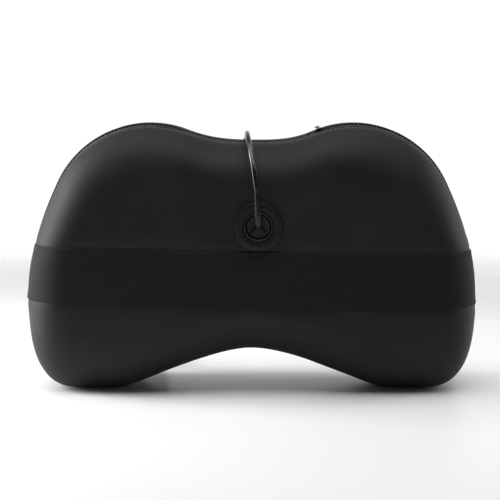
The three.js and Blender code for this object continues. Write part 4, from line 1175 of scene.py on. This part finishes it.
# %% Plates
def plate(name, outline, low, high, origin, along, across, up, material, holes=(), edge=0.25 * MM):
    """An extruded flat shape with small rounded edges, set in a local frame."""
    rings = [list(outline), *[list(h) for h in holes]]
    work = bmesh.new()
    along, across, up, origin = (np.array(v, float) for v in (along, across, up, origin))
    edges = []
    for ring in rings:
        verts = [work.verts.new(origin + along * a + across * b + up * low) for a, b in ring]
        edges += [work.edges.new((verts[i - 1], verts[i])) for i in range(len(verts))]
    bmesh.ops.triangle_fill(work, use_beauty=True, use_dissolve=False, edges=edges)
    bottom = list(work.faces)
    grown = bmesh.ops.extrude_face_region(work, geom=bottom)
    moved = [v for v in grown["geom"] if isinstance(v, bmesh.types.BMVert)]
    bmesh.ops.translate(work, verts=moved, vec=Vector(up * (high - low)))
    bmesh.ops.recalc_face_normals(work, faces=work.faces)
    data = bpy.data.meshes.new(name)
    work.to_mesh(data)
    work.free()
    data.materials.append(material)
    obj = bpy.data.objects.new(name, data)
    bpy.context.scene.collection.objects.link(obj)
    bevel = obj.modifiers.new("edge", "BEVEL")
    bevel.width = edge
    bevel.segments = 2
    bevel.limit_method = "ANGLE"
    bevel.angle_limit = math.radians(40)
    data.polygons.foreach_set("use_smooth", [True] * len(data.polygons))
    weighted = obj.modifiers.new("even", "WEIGHTED_NORMAL")
    weighted.keep_sharp = True
    return obj


def rounded(length, width, corner, steps=6, x=0.0, end_width=None):
    """A rounded four-sided outline, counter-clockwise, with an optional narrower far end."""
    end = width if end_width is None else end_width
    points = []
    for sx, half, start in ((1, end / 2, -90), (1, end / 2, 0), (-1, width / 2, 90), (-1, width / 2, 180)):
        sy = -1 if start in (-90, 180) else 1
        c = min(corner, half, length / 2)
        for t in np.linspace(start, start + 90, steps):
            angle = math.radians(t)
            a = x + sx * (length / 2 - c) + c * math.cos(angle)
            b = sy * (half - c) + c * math.sin(angle)
            points.append((a, b))
    return points


# %% Slider and pull
slider_low, slider_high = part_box("zip_slider")
slider_at = distance_at((slider_low.x + slider_high.x) / 2)
slider_point, slider_out = on_outline([slider_at])[0], facing_out([slider_at])[0]
SLIDER_UP = (slider_out[0], 0, slider_out[1])
SLIDER_ALONG = (-slider_out[1], 0, slider_out[0])
SLIDER_ORIGIN = (slider_point[0], ZIP_Y, slider_point[1])
body_half = [(-3.5, 1.6), (-1.2, 2.2), (1.2, 3.0), (3.0, 2.9), (3.6, 1.5), (3.0, 0.5)]
body_mirror = [(a, -b) for a, b in body_half]
body_shape = np.array([*body_mirror, (2.6, 0), *body_half[::-1], (-3.9, 0)]) * MM
slider_axes = (SLIDER_ORIGIN, SLIDER_ALONG, (0, 1, 0), SLIDER_UP)
slider_top = plate("zip_slider_top", body_shape, 0.1 * MM, 1.0 * MM, *slider_axes, ZINC)
slider_under = plate("zip_slider_under", body_shape * 0.92, -2.6 * MM, -1.9 * MM, *slider_axes, ZINC)
bridge_foot = 1.0 * MM
bridge_turns = np.linspace(0, math.pi, 12)
bridge_arc = [(2.4 * MM * math.cos(t), bridge_foot + 0.8 * MM * math.sin(t)) for t in bridge_turns]
bridge_inner = [(a * 0.72, bridge_foot + (b - bridge_foot) * 0.45) for a, b in bridge_arc[::-1]]
bridge_shape = [*bridge_arc, *bridge_inner]
bridge_axes = (SLIDER_ORIGIN, SLIDER_ALONG, SLIDER_UP, (0, 1, 0))
bridge = plate("zip_slider_bridge", bridge_shape, -3.1 * MM, -2.1 * MM, *bridge_axes, ZINC, edge=0.15 * MM)
for piece in (slider_top, slider_under, bridge):
    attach(piece, "slider")
    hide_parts("zip_slider")

pull_low, pull_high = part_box("zip_pull")
PULL_LENGTH = pull_high.y - pull_low.y
PULL_WIDE = 4.0 * MM
pull_middle = (pull_low + pull_high) / 2
pull_shape = rounded(PULL_LENGTH, PULL_WIDE * 0.8, 1.4 * MM, end_width=PULL_WIDE)
eye = rounded(1.3 * MM, 2.3 * MM, 0.6 * MM, x=-PULL_LENGTH / 2 + 1.5 * MM)
grip = rounded(3.0 * MM, 1.2 * MM, 0.6 * MM, x=PULL_LENGTH / 2 - 3.4 * MM)
pull_origin = np.array(pull_middle) + np.array(SLIDER_UP) * 1.5 * MM
pull_axes = (pull_origin, (0, 1, 0), SLIDER_ALONG, SLIDER_UP)
zip_pull = plate("zip_pull_tab", pull_shape, -0.45 * MM, 0.45 * MM, *pull_axes, ZINC, holes=(eye, grip))
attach(zip_pull, "pull")
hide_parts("zip_pull")
print(f"slider at {slider_point[0]:.3f}, {slider_point[1]:.3f} m; pull {PULL_LENGTH / MM:.1f} mm long")

# %% [markdown]
# ## The elastic strap
# A broad knitted elastic is stretched across the back, so a hand can be slipped under it. Its
# two ends go into the side seams. It lies exactly on the leather, so its surface is found by
# looking in at the finished panel from outside and standing the ribs on what is hit. That
# follows the panel's curve and dents closer than any hand-made curve would.

# %% Strap
RIBS = 25
RIB_POINTS = 6
RIB_HEIGHT = 0.24 * MM
STRAP_THICK = 1.2 * MM
STRAP_COLUMNS = 180
CORNER_X = HALF - 50 * MM
back_mesh = back_panel.evaluated_get(bpy.context.evaluated_depsgraph_get()).to_mesh()
panel_places = [v.co[:] for v in back_mesh.vertices]
panel_tree = BVHTree.FromPolygons(panel_places, [p.vertices[:] for p in back_mesh.polygons])
back_panel.evaluated_get(bpy.context.evaluated_depsgraph_get()).to_mesh_clear()


def lie_on_panel(rise):
    """Points and outward directions across the panel from seam to seam, and the length between.

    They run rise above the strap's middle line.
    """
    rays = []
    for degrees in np.linspace(90, 0, 60, endpoint=False):
        angle = math.radians(degrees)
        rays.append((-CORNER_X, -BAND_HALF, -math.sin(angle), -math.cos(angle)))
    rays += [(x, -BAND_HALF, 0.0, -1.0) for x in np.linspace(-CORNER_X, CORNER_X, 130)]
    rays += [(-x, y, -dx, dy) for x, y, dx, dy in rays[:60][::-1]]
    points, normals = [], []
    for x, y, dx, dy in rays:
        z = strap_middle(x) + rise * strap_reach(x) / STRAP_HALF
        direction = Vector((dx, dy, 0))
        start = Vector((x, y, z)) + direction * 0.2
        hit, normal, _, _ = panel_tree.ray_cast(start, -direction, 0.25)
        if hit is not None:
            points.append(hit)
            normals.append(normal if normal.dot(direction) > 0 else -normal)
    points, normals = np.array(points), np.array(normals)
    run = np.concatenate([[0], np.cumsum(np.linalg.norm(np.diff(points, axis=0), axis=1))])
    at = np.linspace(0, run[-1], STRAP_COLUMNS)
    even = [np.stack([np.interp(at, run, a[:, k]) for k in range(3)], -1) for a in (points, normals)]
    return even[0], even[1] / np.linalg.norm(even[1], axis=1)[:, None], run[-1]


rise = np.linspace(-STRAP_HALF, STRAP_HALF, RIBS * RIB_POINTS + 1)
rib = np.abs(np.sin(math.pi * RIBS * (rise + STRAP_HALF) / (2 * STRAP_HALF))) ** 0.7
rim = 1 - 0.5 * bell(STRAP_HALF - np.abs(rise), 0.6 * MM)
outer, inner, across = [], [], []
for height, wave, edge in zip(rise, rib, rim):
    places, normals, length = lie_on_panel(height)
    outer.append(places + normals * ((STRAP_THICK + RIB_HEIGHT * (wave - 1)) * edge))
    inner.append(places + normals * 0.05 * MM)
    across.append(length)
inner = inner[:: RIB_POINTS * 5][::-1]  # the underside is plain, so a few rows are enough
strap_grid = np.concatenate([outer, inner])
# The last few columns turn in under the zip's edge.
for column, depth in ((0, 2.6), (1, 1.2), (2, 0.3)):
    for end, sign in ((column, 1), (-1 - column, -1)):
        strap_grid[:, end, 0] += sign * depth * MM
rows, columns = strap_grid.shape[:2]
strap_faces = [tuple(f) for f in net(rows, columns, wrap_rows=True)]
strap_faces.append(tuple(r * columns for r in range(rows))[::-1])
strap_faces.append(tuple(r * columns + columns - 1 for r in range(rows)))
strap = weld(mesh_object("elastic_strap_band", strap_grid.reshape(-1, 3), strap_faces, ELASTIC), gap=1e-6)
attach(strap, "pillow")
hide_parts("elastic_strap")

# %% [markdown]
# ## The socket in the back
# The lead plugs into a round socket near the middle of the back. It has a satin ring that
# stands a few millimetres off the leather, a cup inside it, and an angled plug whose round face
# fills the cup. Turned shapes like these are made by carrying a profile of (radius, height)
# points round an axis, which gives true rounded edges where a cylinder would have hard ones.

# %% Turned shapes
def turned(name, profile, origin, up, material, sides=72, closed=False):
    """A profile of (radius, height) points, carried round the axis up from origin."""
    up = Vector(up).normalized()
    first = up.orthogonal().normalized()
    second = up.cross(first)
    rings = []
    for radius, height in profile:
        ring = []
        for k in range(sides):
            angle = 2 * math.pi * k / sides
            spoke = first * math.cos(angle) + second * math.sin(angle)
            ring.append(Vector(origin) + up * height + spoke * radius)
        rings.append(ring)
    places = [tuple(p) for ring in rings for p in ring]
    rows = len(rings)
    faces = [tuple(f) for f in net(rows, sides, wrap_rows=closed, wrap_columns=True)]
    if not closed:
        faces.append(tuple(range(sides))[::-1])
        faces.append(tuple((rows - 1) * sides + k for k in range(sides)))
    return weld(mesh_object(name, places, faces, material), gap=1e-6)


def arc(radius_at, height_at, radius, start, stop, steps=8):
    """Points of a small arc in a (radius, height) profile, between two angles in degrees."""
    turns = np.radians(np.linspace(start, stop, steps))
    return [(radius_at + radius * math.cos(t), height_at + radius * math.sin(t)) for t in turns]


# %% Ring and cup
BACKWARD = (0, -1, 0)
SOCKET_FACE = (SOCKET.x, 0, SOCKET.z)
ring_out = -socket_low.y  # how far back the ring's top is
ring_in = -socket_high.y
RING_INNER = 11.4 * MM
LIP = 0.9 * MM
BARREL_DEEP = 5.4 * MM  # how far the ring's barrel goes in below its flange
profile = [
    (RING_INNER + 0.2 * MM, ring_in - BARREL_DEEP),
    (SOCKET_R - 2 * MM, ring_in - BARREL_DEEP),
    (SOCKET_R - 1.2 * MM, ring_in - 0.6 * MM),
    (SOCKET_R, ring_in - 0.3 * MM),
    *arc(SOCKET_R - LIP, ring_out - LIP - 0.4 * MM, LIP, 0, 75),
    (SOCKET_R - 2.6 * MM, ring_out - 0.05 * MM),
    (SOCKET_R - 4 * MM, ring_out),
    (RING_INNER + 2.2 * MM, ring_out - 0.25 * MM),
    *arc(RING_INNER + 1.3 * MM, ring_out - 1.5 * MM, 1.1 * MM, 80, 180),
    (RING_INNER + 0.2 * MM, ring_out - 3 * MM),
]
ring = soften(turned("socket_ring", profile, SOCKET_FACE, BACKWARD, SATIN_BLACK, closed=True))
cup_low, cup_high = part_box("socket_cup")
cup_back, cup_floor = -cup_low.y, -cup_high.y
cup_r = (cup_high.x - cup_low.x) / 2
CUP_WALL, CUP_EDGE = 1.2 * MM, 0.3 * MM
CUP_BASE, CUP_HOLE = 1.5 * MM, 2.4 * MM  # the floor's thickness, and the contact's hole in it
cup_profile = [
    (cup_r, cup_floor),
    (cup_r, cup_back - CUP_EDGE),
    (cup_r - CUP_EDGE, cup_back),
    (cup_r - CUP_WALL + CUP_EDGE, cup_back),
    (cup_r - CUP_WALL, cup_back - CUP_EDGE),
    (cup_r - CUP_WALL, cup_floor + CUP_BASE),
    (CUP_HOLE, cup_floor + CUP_BASE),
    (CUP_HOLE, cup_floor),
]
cup = turned("socket_cup_lining", cup_profile, SOCKET_FACE, BACKWARD, BLACK_PLASTIC, closed=True)
for piece, node in ((ring, "socket_bezel"), (cup, "socket_cup")):
    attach(piece, "pillow")
    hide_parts(node)
print(f"socket ring: {2 * SOCKET_R / MM:.0f} mm across, {(ring_out - ring_in) / MM:.1f} mm proud")

# %% Angled plug
plug_low, plug_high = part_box("lead_plug")
PLUG_R = (plug_high.x - plug_low.x) / 2
plug_in = -plug_high.y
PLUG_FACE = ring_out - 2.6 * MM
BARREL_R = 4.6 * MM  # the plug's thinner barrel, below its round face
FACE_ROUND = 0.8 * MM
CENTRE = 0.01 * MM  # a profile stops just short of its own axis
plug_profile = [
    (CENTRE, plug_in),
    (BARREL_R - 0.4 * MM, plug_in),
    (BARREL_R, plug_in + 0.4 * MM),
    (BARREL_R, cup_floor + 2.2 * MM),
    (PLUG_R - 0.6 * MM, cup_floor + 2.2 * MM),
    (PLUG_R, cup_floor + 2.8 * MM),
    (PLUG_R, PLUG_FACE - FACE_ROUND),
    *arc(PLUG_R - FACE_ROUND, PLUG_FACE - FACE_ROUND, FACE_ROUND, 10, 90),
    (PLUG_R - 2.4 * MM, PLUG_FACE - 0.25 * MM),
    (3.5 * MM, PLUG_FACE - 0.35 * MM),
    (CENTRE, PLUG_FACE - 0.3 * MM),
]
plug_disc = turned("plug_disc", plug_profile, SOCKET_FACE, BACKWARD, RUBBER)
# A wedge on the face turns the lead upward. Its sections are (height, half width, depth) in mm.
WEDGE = [
    (-2.6, 0.4, 0.2),
    (-1.6, 1.2, 1.0),
    (-0.2, 1.9, 2.0),
    (1.4, 2.3, 2.8),
    (3.2, 2.4, 3.1),
    (4.8, 2.3, 2.8),
    (6.2, 1.8, 1.8),
]
wedge = metres(WEDGE)
places = []
WEDGE_SIDES = 16
WEDGE_SUNK = 0.8 * MM  # its flat side lies this far below the plug's face
for up, wide, high in wedge:
    for k in range(WEDGE_SIDES):
        angle = math.pi * k / (WEDGE_SIDES - 1)
        out = PLUG_FACE - WEDGE_SUNK + (high + 0.5 * MM) * math.sin(angle) ** 0.8
        places.append((SOCKET.x + wide * math.cos(angle), -out, SOCKET.z + up))
faces = [tuple(f) for f in net(len(wedge), WEDGE_SIDES, wrap_columns=True)]
faces.append(tuple(range(WEDGE_SIDES)))
faces.append(tuple((len(wedge) - 1) * WEDGE_SIDES + k for k in range(WEDGE_SIDES))[::-1])
plug_wedge = soften(weld(mesh_object("plug_wedge", places, faces, RUBBER), gap=1e-6))
# Below the lead, a raised foot that narrows upward lies between two narrow finger slots. The slots are thin
# near-black plates: painted shade that stands in for their depth.
foot_axes = (SOCKET_FACE, (1, 0, 0), (0, 0, 1), BACKWARD)
foot_shape = np.array([(-5.0, -5.4), (-3.2, -6.6), (3.4, -6.6), (5.2, -5.2), (1.0, 0.6), (-0.8, 0.6)]) * MM
FOOT_DOWN, FOOT_UP, SLOT_UP = PLUG_FACE - 1.2 * MM, PLUG_FACE + 0.35 * MM, PLUG_FACE - 0.1 * MM
plug_foot = plate("plug_foot", foot_shape, FOOT_DOWN, FOOT_UP, *foot_axes, RUBBER, edge=0.35 * MM)
slots = []
for side in (-1, 1):
    name = "plug_slot_shade_left" if side < 0 else "plug_slot_shade_right"
    slot_shape = np.array([(1.6, 0.4), (5.6, -5.0), (6.6, -4.2), (2.9, 1.0)]) * MM * (side, 1)
    slots.append(plate(name, slot_shape, FOOT_DOWN, SLOT_UP, *foot_axes, SLOT_SHADE_BLACK, edge=0.1 * MM))
for piece in (plug_disc, plug_wedge, plug_foot, *slots):
    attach(piece, "pillow")
    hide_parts("lead_plug")
print(f"plug: {2 * PLUG_R / MM:.0f} mm across, face {PLUG_FACE / MM:.1f} mm back from the middle plane")

# %% [markdown]
# ## The strain relief and the lead
# A tapered sleeve of soft rubber carries the bend where the lead leaves its plug: thickest near
# the plug, thinning to the lead's own size, with ring-shaped slots so that it can flex. Then
# comes the lead itself, with its real length, and what is on it.

# %% Strain relief
# The sleeve starts as a point inside the wedge, and runs a little way up the lead.
SLEEVE_LINE = [
    (5, -62.2, 131.6),
    (5, -64.6, 133.4),
    (5, -68.0, 137.2),
    (4.85, -69.9, 142),
    RELIEF_LINE[4],
    (3.85, -69.6, 159.6),
    (3.72, -69.4, 161.8),
]
SLEEVE_TAPER = [  # (distance along, radius) in mm
    (0, 0.35),
    (1.0, 0.95),
    (3.0, 1.7),
    (6.5, 2.35),
    (11.5, 2.7),
    (15, 2.68),
    (22, 2.5),
    (29, 2.3),
    (31.5, 2.18),
]
relief_path = smooth(metres(SLEEVE_LINE), 0.6 * MM)
relief_run = np.concatenate([[0], np.cumsum(np.linalg.norm(np.diff(relief_path, axis=0), axis=1))])
relief_radius = np.interp(relief_run, *metres(SLEEVE_TAPER).T)
for slot_at in np.arange(16, 28, 2.4) * MM:
    relief_radius -= 0.16 * MM * (np.abs(relief_run - slot_at) < 0.45 * MM)


def tube(name, path, radii, material, sides=28):
    """A closed tube along a path with its own radius at every point."""
    path = np.asarray(path)
    along = np.gradient(path, axis=0)
    along /= np.linalg.norm(along, axis=1)[:, None]
    side = Vector(along[0]).orthogonal().normalized()
    rings = []
    for point, ahead, radius in zip(path, along, radii):
        ahead = Vector(ahead)
        side = (side - ahead * side.dot(ahead)).normalized()
        other = ahead.cross(side)
        for k in range(sides):
            angle = 2 * math.pi * k / sides
            rings.append(Vector(point) + (side * math.cos(angle) + other * math.sin(angle)) * radius)
    rows = len(path)
    faces = [tuple(f) for f in net(rows, sides, wrap_columns=True)]
    faces += [tuple(range(sides))[::-1], tuple((rows - 1) * sides + k for k in range(sides))]
    return weld(mesh_object(name, rings, faces, material), gap=1e-6)


relief = tube("strain_relief_sleeve", relief_path, relief_radius, RUBBER)
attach(relief, "pillow")
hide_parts("strain_relief")
print(f"relief: {relief_run[-1] / MM:.0f} mm long, {2 * relief_radius.max() / MM:.1f} mm at its thickest")

# %% Wall adapter
adapter_low, adapter_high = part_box("wall_adapter")


def rounded_box(name, low, high, corner, material, rise=0.9 * MM, steps=7):
    """A moulded box with corners rounded along X, ends that round over, and a parting line."""
    middle = (np.array(low) + np.array(high)) / 2
    half = (np.array(high) - np.array(low)) / 2
    hold = half[0] - rise - 0.5 * MM  # rings that keep the flats flat
    far_end = []
    for t in np.radians(np.linspace(90, 0, 6)):
        far_end.append((half[0] - rise * (1 - math.cos(t)), rise * (1 - math.sin(t))))
    far_half = [(0.2 * MM, 0.3 * MM), (0.35 * MM, 0), (1.2 * MM, 0), (hold, 0), *far_end]
    stations = [(-x, inset) for x, inset in far_half[::-1]] + far_half
    places = []
    for x, inset in stations:
        wide, tall = half[1] - inset, half[2] - inset
        outline = rounded(2 * wide, 2 * tall, corner, steps)
        places += [(middle[0] + x, middle[1] + a, middle[2] + b) for a, b in outline]
    count = 4 * steps
    faces = [tuple(f) for f in net(len(stations), count, wrap_columns=True)]
    faces += [tuple(range(count))[::-1], tuple((len(stations) - 1) * count + k for k in range(count))]
    return weld(mesh_object(name, places, faces, material), gap=1e-6)


adapter = rounded_box("adapter_body", adapter_low, adapter_high, 5 * MM, BLACK_PLASTIC)
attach(adapter, "pillow")
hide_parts("wall_adapter")

gland_low, gland_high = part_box("adapter_relief")
gland_r = (gland_high.z - gland_low.z) / 2
gland_run = np.linspace(0, gland_high.x - gland_low.x + 1.5 * MM, 60)
gland_steps = np.array([0, 2.5, 3, 15]) * MM
gland_radius = np.interp(gland_run, gland_steps, [gland_r, gland_r, gland_r * 0.85, 2.5 * MM])
for slot_at in np.arange(4.5, 13, 2.2) * MM:
    gland_radius -= 0.35 * MM * (np.abs(gland_run - slot_at) < 0.4 * MM)
gland_middle = (gland_low + gland_high) / 2
gland_path = [(gland_low.x - 1.5 * MM + at, gland_middle.y, gland_middle.z) for at in gland_run]
gland = tube("adapter_gland", gland_path, gland_radius, RUBBER)
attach(gland, "pillow")
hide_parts("adapter_relief")
print("adapter:", [round((b - a) / MM, 1) for a, b in zip(adapter_low, adapter_high)], "mm")

# %% Coil tie
tie_low, tie_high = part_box("cord_tie")
tie_middle = (tie_low + tie_high) / 2
tie_half = (tie_high - tie_low) / 2
TIE_THICK = 0.7 * MM


def tie_section(grow):
    return rounded(2 * (tie_half.x - grow), 2 * (tie_half.z - grow), 3.2 * MM, 8)


places = []
for share, grow in ((-1, TIE_THICK), (-1, 0.15 * MM), (-0.93, 0), (0.93, 0), (1, 0.15 * MM), (1, TIE_THICK)):
    y = tie_middle.y + share * tie_half.y
    places += [(tie_middle.x + a, y, tie_middle.z + b) for a, b in tie_section(grow)]
tie_faces = [tuple(f) for f in net(6, 32, wrap_rows=True, wrap_columns=True)]
tie = weld(mesh_object("lead_tie", places, tie_faces, LOOP_TAPE), gap=1e-6)
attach(tie, "pillow")
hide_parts("cord_tie")

# %% The lead
lead.data.materials.append(JACKET)
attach(lead, "pillow")
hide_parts("power_cord", "cord_tail", "cord_coil")

# %% [markdown]
# ## The buttons
# On the band's right side, where a thumb finds them, sit a small plastic plate, a power button,
# a button that turns the direction round, and a status light between them. The plate and the
# light keep the frame's shape. Each button is a dished cap on its own body, so it can be pressed.

# %% Buttons
BUTTON_RADIUS, BUTTON_HALF = 4.0 * MM, 2.2 * MM
BUTTON_RIM = 0.4 * MM
DISH_DEPTH = 0.5 * MM
power_low, power_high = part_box("power_button")
direction_low, direction_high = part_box("direction_button")
between_keys = (power_low + power_high - direction_low - direction_high) / 2
BUTTON_OUTWARD = (between_keys.z, 0, -between_keys.x)  # square to the line through both buttons
button_profile = [(BUTTON_RADIUS - 0.15 * MM, -BUTTON_HALF), (BUTTON_RADIUS, -BUTTON_HALF + 0.15 * MM)]
button_profile += arc(BUTTON_RADIUS - BUTTON_RIM, BUTTON_HALF - BUTTON_RIM, BUTTON_RIM, 0, 90, steps=6)
for share in (0.85, 0.65, 0.45, 0.25, 0.05):  # the dish
    button_profile.append((BUTTON_RADIUS * share, BUTTON_HALF - DISH_DEPTH * (1 - share**2)))
for name, body in (("power_button", "power_key"), ("direction_button", "direction_key")):
    low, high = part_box(name)
    middle, cap_name = (low + high) / 2, name.replace("button", "cap")
    cap = turned(cap_name, button_profile, middle, BUTTON_OUTWARD, GLOSS_BLACK, sides=64)
    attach(cap, body)
    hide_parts(name)

# %% [markdown]
# ## Foam and liner
# Under the covers is a block of grey foam, cut out for the case and the turning heads, and over
# the heads lies a thin cloth that keeps them from wearing the mesh. The foam starts from the
# frame's own block: it is copied, rebuilt as an even net, and its cut edges are worn soft.

# %% Foam
def remade(name, node, voxel, smoothing, material):
    """A softened copy of a CAD solid."""
    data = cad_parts[node].data.copy()
    data.materials.clear()
    data.materials.append(material)
    obj = bpy.data.objects.new(name, data)
    bpy.context.scene.collection.objects.link(obj)
    net_again = obj.modifiers.new("net", "REMESH")
    net_again.mode = "VOXEL"
    net_again.voxel_size = voxel
    net_again.use_smooth_shade = True
    worn = obj.modifiers.new("worn", "SMOOTH")
    worn.factor = 0.5
    worn.iterations = smoothing
    applied = obj.evaluated_get(bpy.context.evaluated_depsgraph_get())
    obj.data = bpy.data.meshes.new_from_object(applied)
    obj.modifiers.clear()
    return obj


foam = remade("foam_block", "foam_body", 2.5 * MM, 4, FOAM)
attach(foam, "pillow")
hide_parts("foam_body")
print(f"foam: {len(foam.data.polygons)} faces")

# %% Liner
liner_low, liner_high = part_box("head_liner")
LINER_CORNER = 12 * MM
LINER_COLUMNS, LINER_ROWS = 91, 41
liner_half = np.array([liner_high.x - liner_low.x, liner_high.z - liner_low.z]) / 2
liner_middle = np.array([liner_high.x + liner_low.x, liner_high.z + liner_low.z]) / 2
liner_thick = liner_high.y - liner_low.y
columns, rows = np.meshgrid(np.linspace(-1, 1, LINER_COLUMNS), np.linspace(-1, 1, LINER_ROWS))
height = rows * liner_half[1]
into_corner = np.clip(np.abs(height) - (liner_half[1] - LINER_CORNER), 0, LINER_CORNER)
width = liner_half[0] - LINER_CORNER + np.sqrt(LINER_CORNER**2 - into_corner**2)
across = columns * width
flat = np.stack([across.ravel(), height.ravel()], -1)
spots = [(x + liner_middle[0], liner_high.y, z + liner_middle[1]) for x, z in flat]
liner = mesh_object("liner_cloth", spots, net(LINER_ROWS, LINER_COLUMNS), LINER, flat=flat)
if liner.data.polygons[0].normal.y < 0:
    liner.data.flip_normals()
thicken(liner, liner_thick)
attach(liner, "pillow")
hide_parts("head_liner")

# %% [markdown]
# ## Finishes for the parts inside
# The case, motor, gears, shafts and heads are already the right shape in the frame, so they
# keep it, and each only gets its finish, by what it is made of.

# %% Inside finishes
BY_SLOT = {
    "steel": STEEL,
    "brass": BRASS,
    "nylon": NYLON,
    "head_plastic": HEAD_PLASTIC,
    "case_plastic": CASE_PLASTIC,
    "board": BOARD,
    "black_plastic": BLACK_PLASTIC,
    "gloss_black": GLOSS_BLACK,
    "red_lens": LENS,
    "dark_metal": ZINC,
    "foam": FOAM,
    "loop_tape": LOOP_TAPE,
    "leather": LEATHER,
    "spacer_mesh": SPACER_MESH,
    "zip_tape": ZIP_TAPE,
    "elastic": ELASTIC,
    "lead_jacket": JACKET,
}
given = 0
for name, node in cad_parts.items():
    for place in node.material_slots:
        word = place.material.name.split(".")[0] if place.material else ""
        if word in BY_SLOT:
            place.material = BY_SLOT[word]
            given += 1
        else:
            print("no finish for", name, word)
print(f"finishes given: {given}")

# %% [markdown]
# ## Floor and light
# The floor is a plain pale sheet that fades into a white room. A dark object shows its shape
# only by what it reflects, so the room is bright behind it and dimmer in front, a tall soft
# light stands close on the left for a long highlight, and weaker ones stand right and above.

# %% Floor
FLOOR_SOLID, FLOOR_GONE = 0.42, 1.1  # metres from the middle, between which the floor fades away
floor_finish = Finish("pale_floor", roughness=0.38, Specular_IOR_Level=0.45)
floor_finish.shader.inputs["Base Color"].default_value = (0.93, 0.93, 0.935, 1)
reach = floor_finish.add("VectorMath", {"operation": "LENGTH"}, _0=floor_finish.place).outputs["Value"]
faded = floor_finish.between(reach, 1, 0, FLOOR_SOLID, FLOOR_GONE)
floor_finish.put(faded, floor_finish.shader.inputs["Alpha"])
FLOOR_R, FLOOR_THICK = 2.0, 4 * MM
floor_profile = [(0.01, -FLOOR_THICK), (FLOOR_R, -FLOOR_THICK), (FLOOR_R, 0), (0.01, 0)]
floor = turned("floor", floor_profile, (0, 0, 0), (0, 0, 1), floor_finish.material, sides=96)
floor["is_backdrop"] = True

# %% Room
room = bpy.data.worlds.new("room")
room.use_nodes = True
bpy.context.scene.world = room
room_nodes, room_links = room.node_tree.nodes, room.node_tree.links
backdrop = room_nodes["Background"]
where = room_nodes.new("ShaderNodeTexCoord")
parts = room_nodes.new("ShaderNodeSeparateXYZ")
ramp = room_nodes.new("ShaderNodeMapRange")
ramp.interpolation_type = "SMOOTHSTEP"
ROOM_FRONT, ROOM_BACK = 0.2, 1.05  # brightness ahead of the back panel and behind the object
for socket, value in zip(ramp.inputs[1:5], (-0.2, 0.6, ROOM_FRONT, ROOM_BACK)):
    socket.default_value = value
ceiling = room_nodes.new("ShaderNodeMapRange")  # the room is dimmer overhead
ceiling.interpolation_type = "SMOOTHSTEP"
for socket, value in zip(ceiling.inputs[1:5], (0.12, 0.6, 1.0, 0.3)):
    socket.default_value = value
both = room_nodes.new("ShaderNodeMath")
both.operation = "MULTIPLY"
room_links.new(where.outputs["Generated"], parts.inputs[0])
room_links.new(parts.outputs[1], ramp.inputs[0])
room_links.new(parts.outputs[2], ceiling.inputs[0])
room_links.new(ramp.outputs[0], both.inputs[0])
room_links.new(ceiling.outputs[0], both.inputs[1])
room_links.new(both.outputs[0], backdrop.inputs["Strength"])
backdrop.inputs["Color"].default_value = (1, 1, 1, 1)

# %% Lights
def soft_light(name, place, aim, wide, tall, watts):
    data = bpy.data.lights.new(name, "AREA")
    data.shape = "RECTANGLE"
    data.size, data.size_y = wide, tall
    data.energy = watts
    obj = bpy.data.objects.new(name, data)
    bpy.context.scene.collection.objects.link(obj)
    obj.location = place
    direction = Vector(aim) - Vector(place)
    obj.rotation_euler = direction.to_track_quat("-Z", "Y").to_euler()
    return obj


BODY_MIDDLE = (0, 0, 0.11)
soft_light("left_window", (-0.85, 0.10, 0.36), BODY_MIDDLE, 0.35, 0.7, 11)
soft_light("right_window", (1.1, 0.45, 0.40), BODY_MIDDLE, 0.4, 0.6, 3)
soft_light("top_light", (0, -0.25, 1.5), BODY_MIDDLE, 1.8, 1.2, 19.5)
bpy.context.scene.view_settings.view_transform = "Standard"

# %% Sizes and finish
low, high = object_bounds()
print("visual model:", [round((b - a) / MM, 1) for a, b in zip(low, high)], "mm")
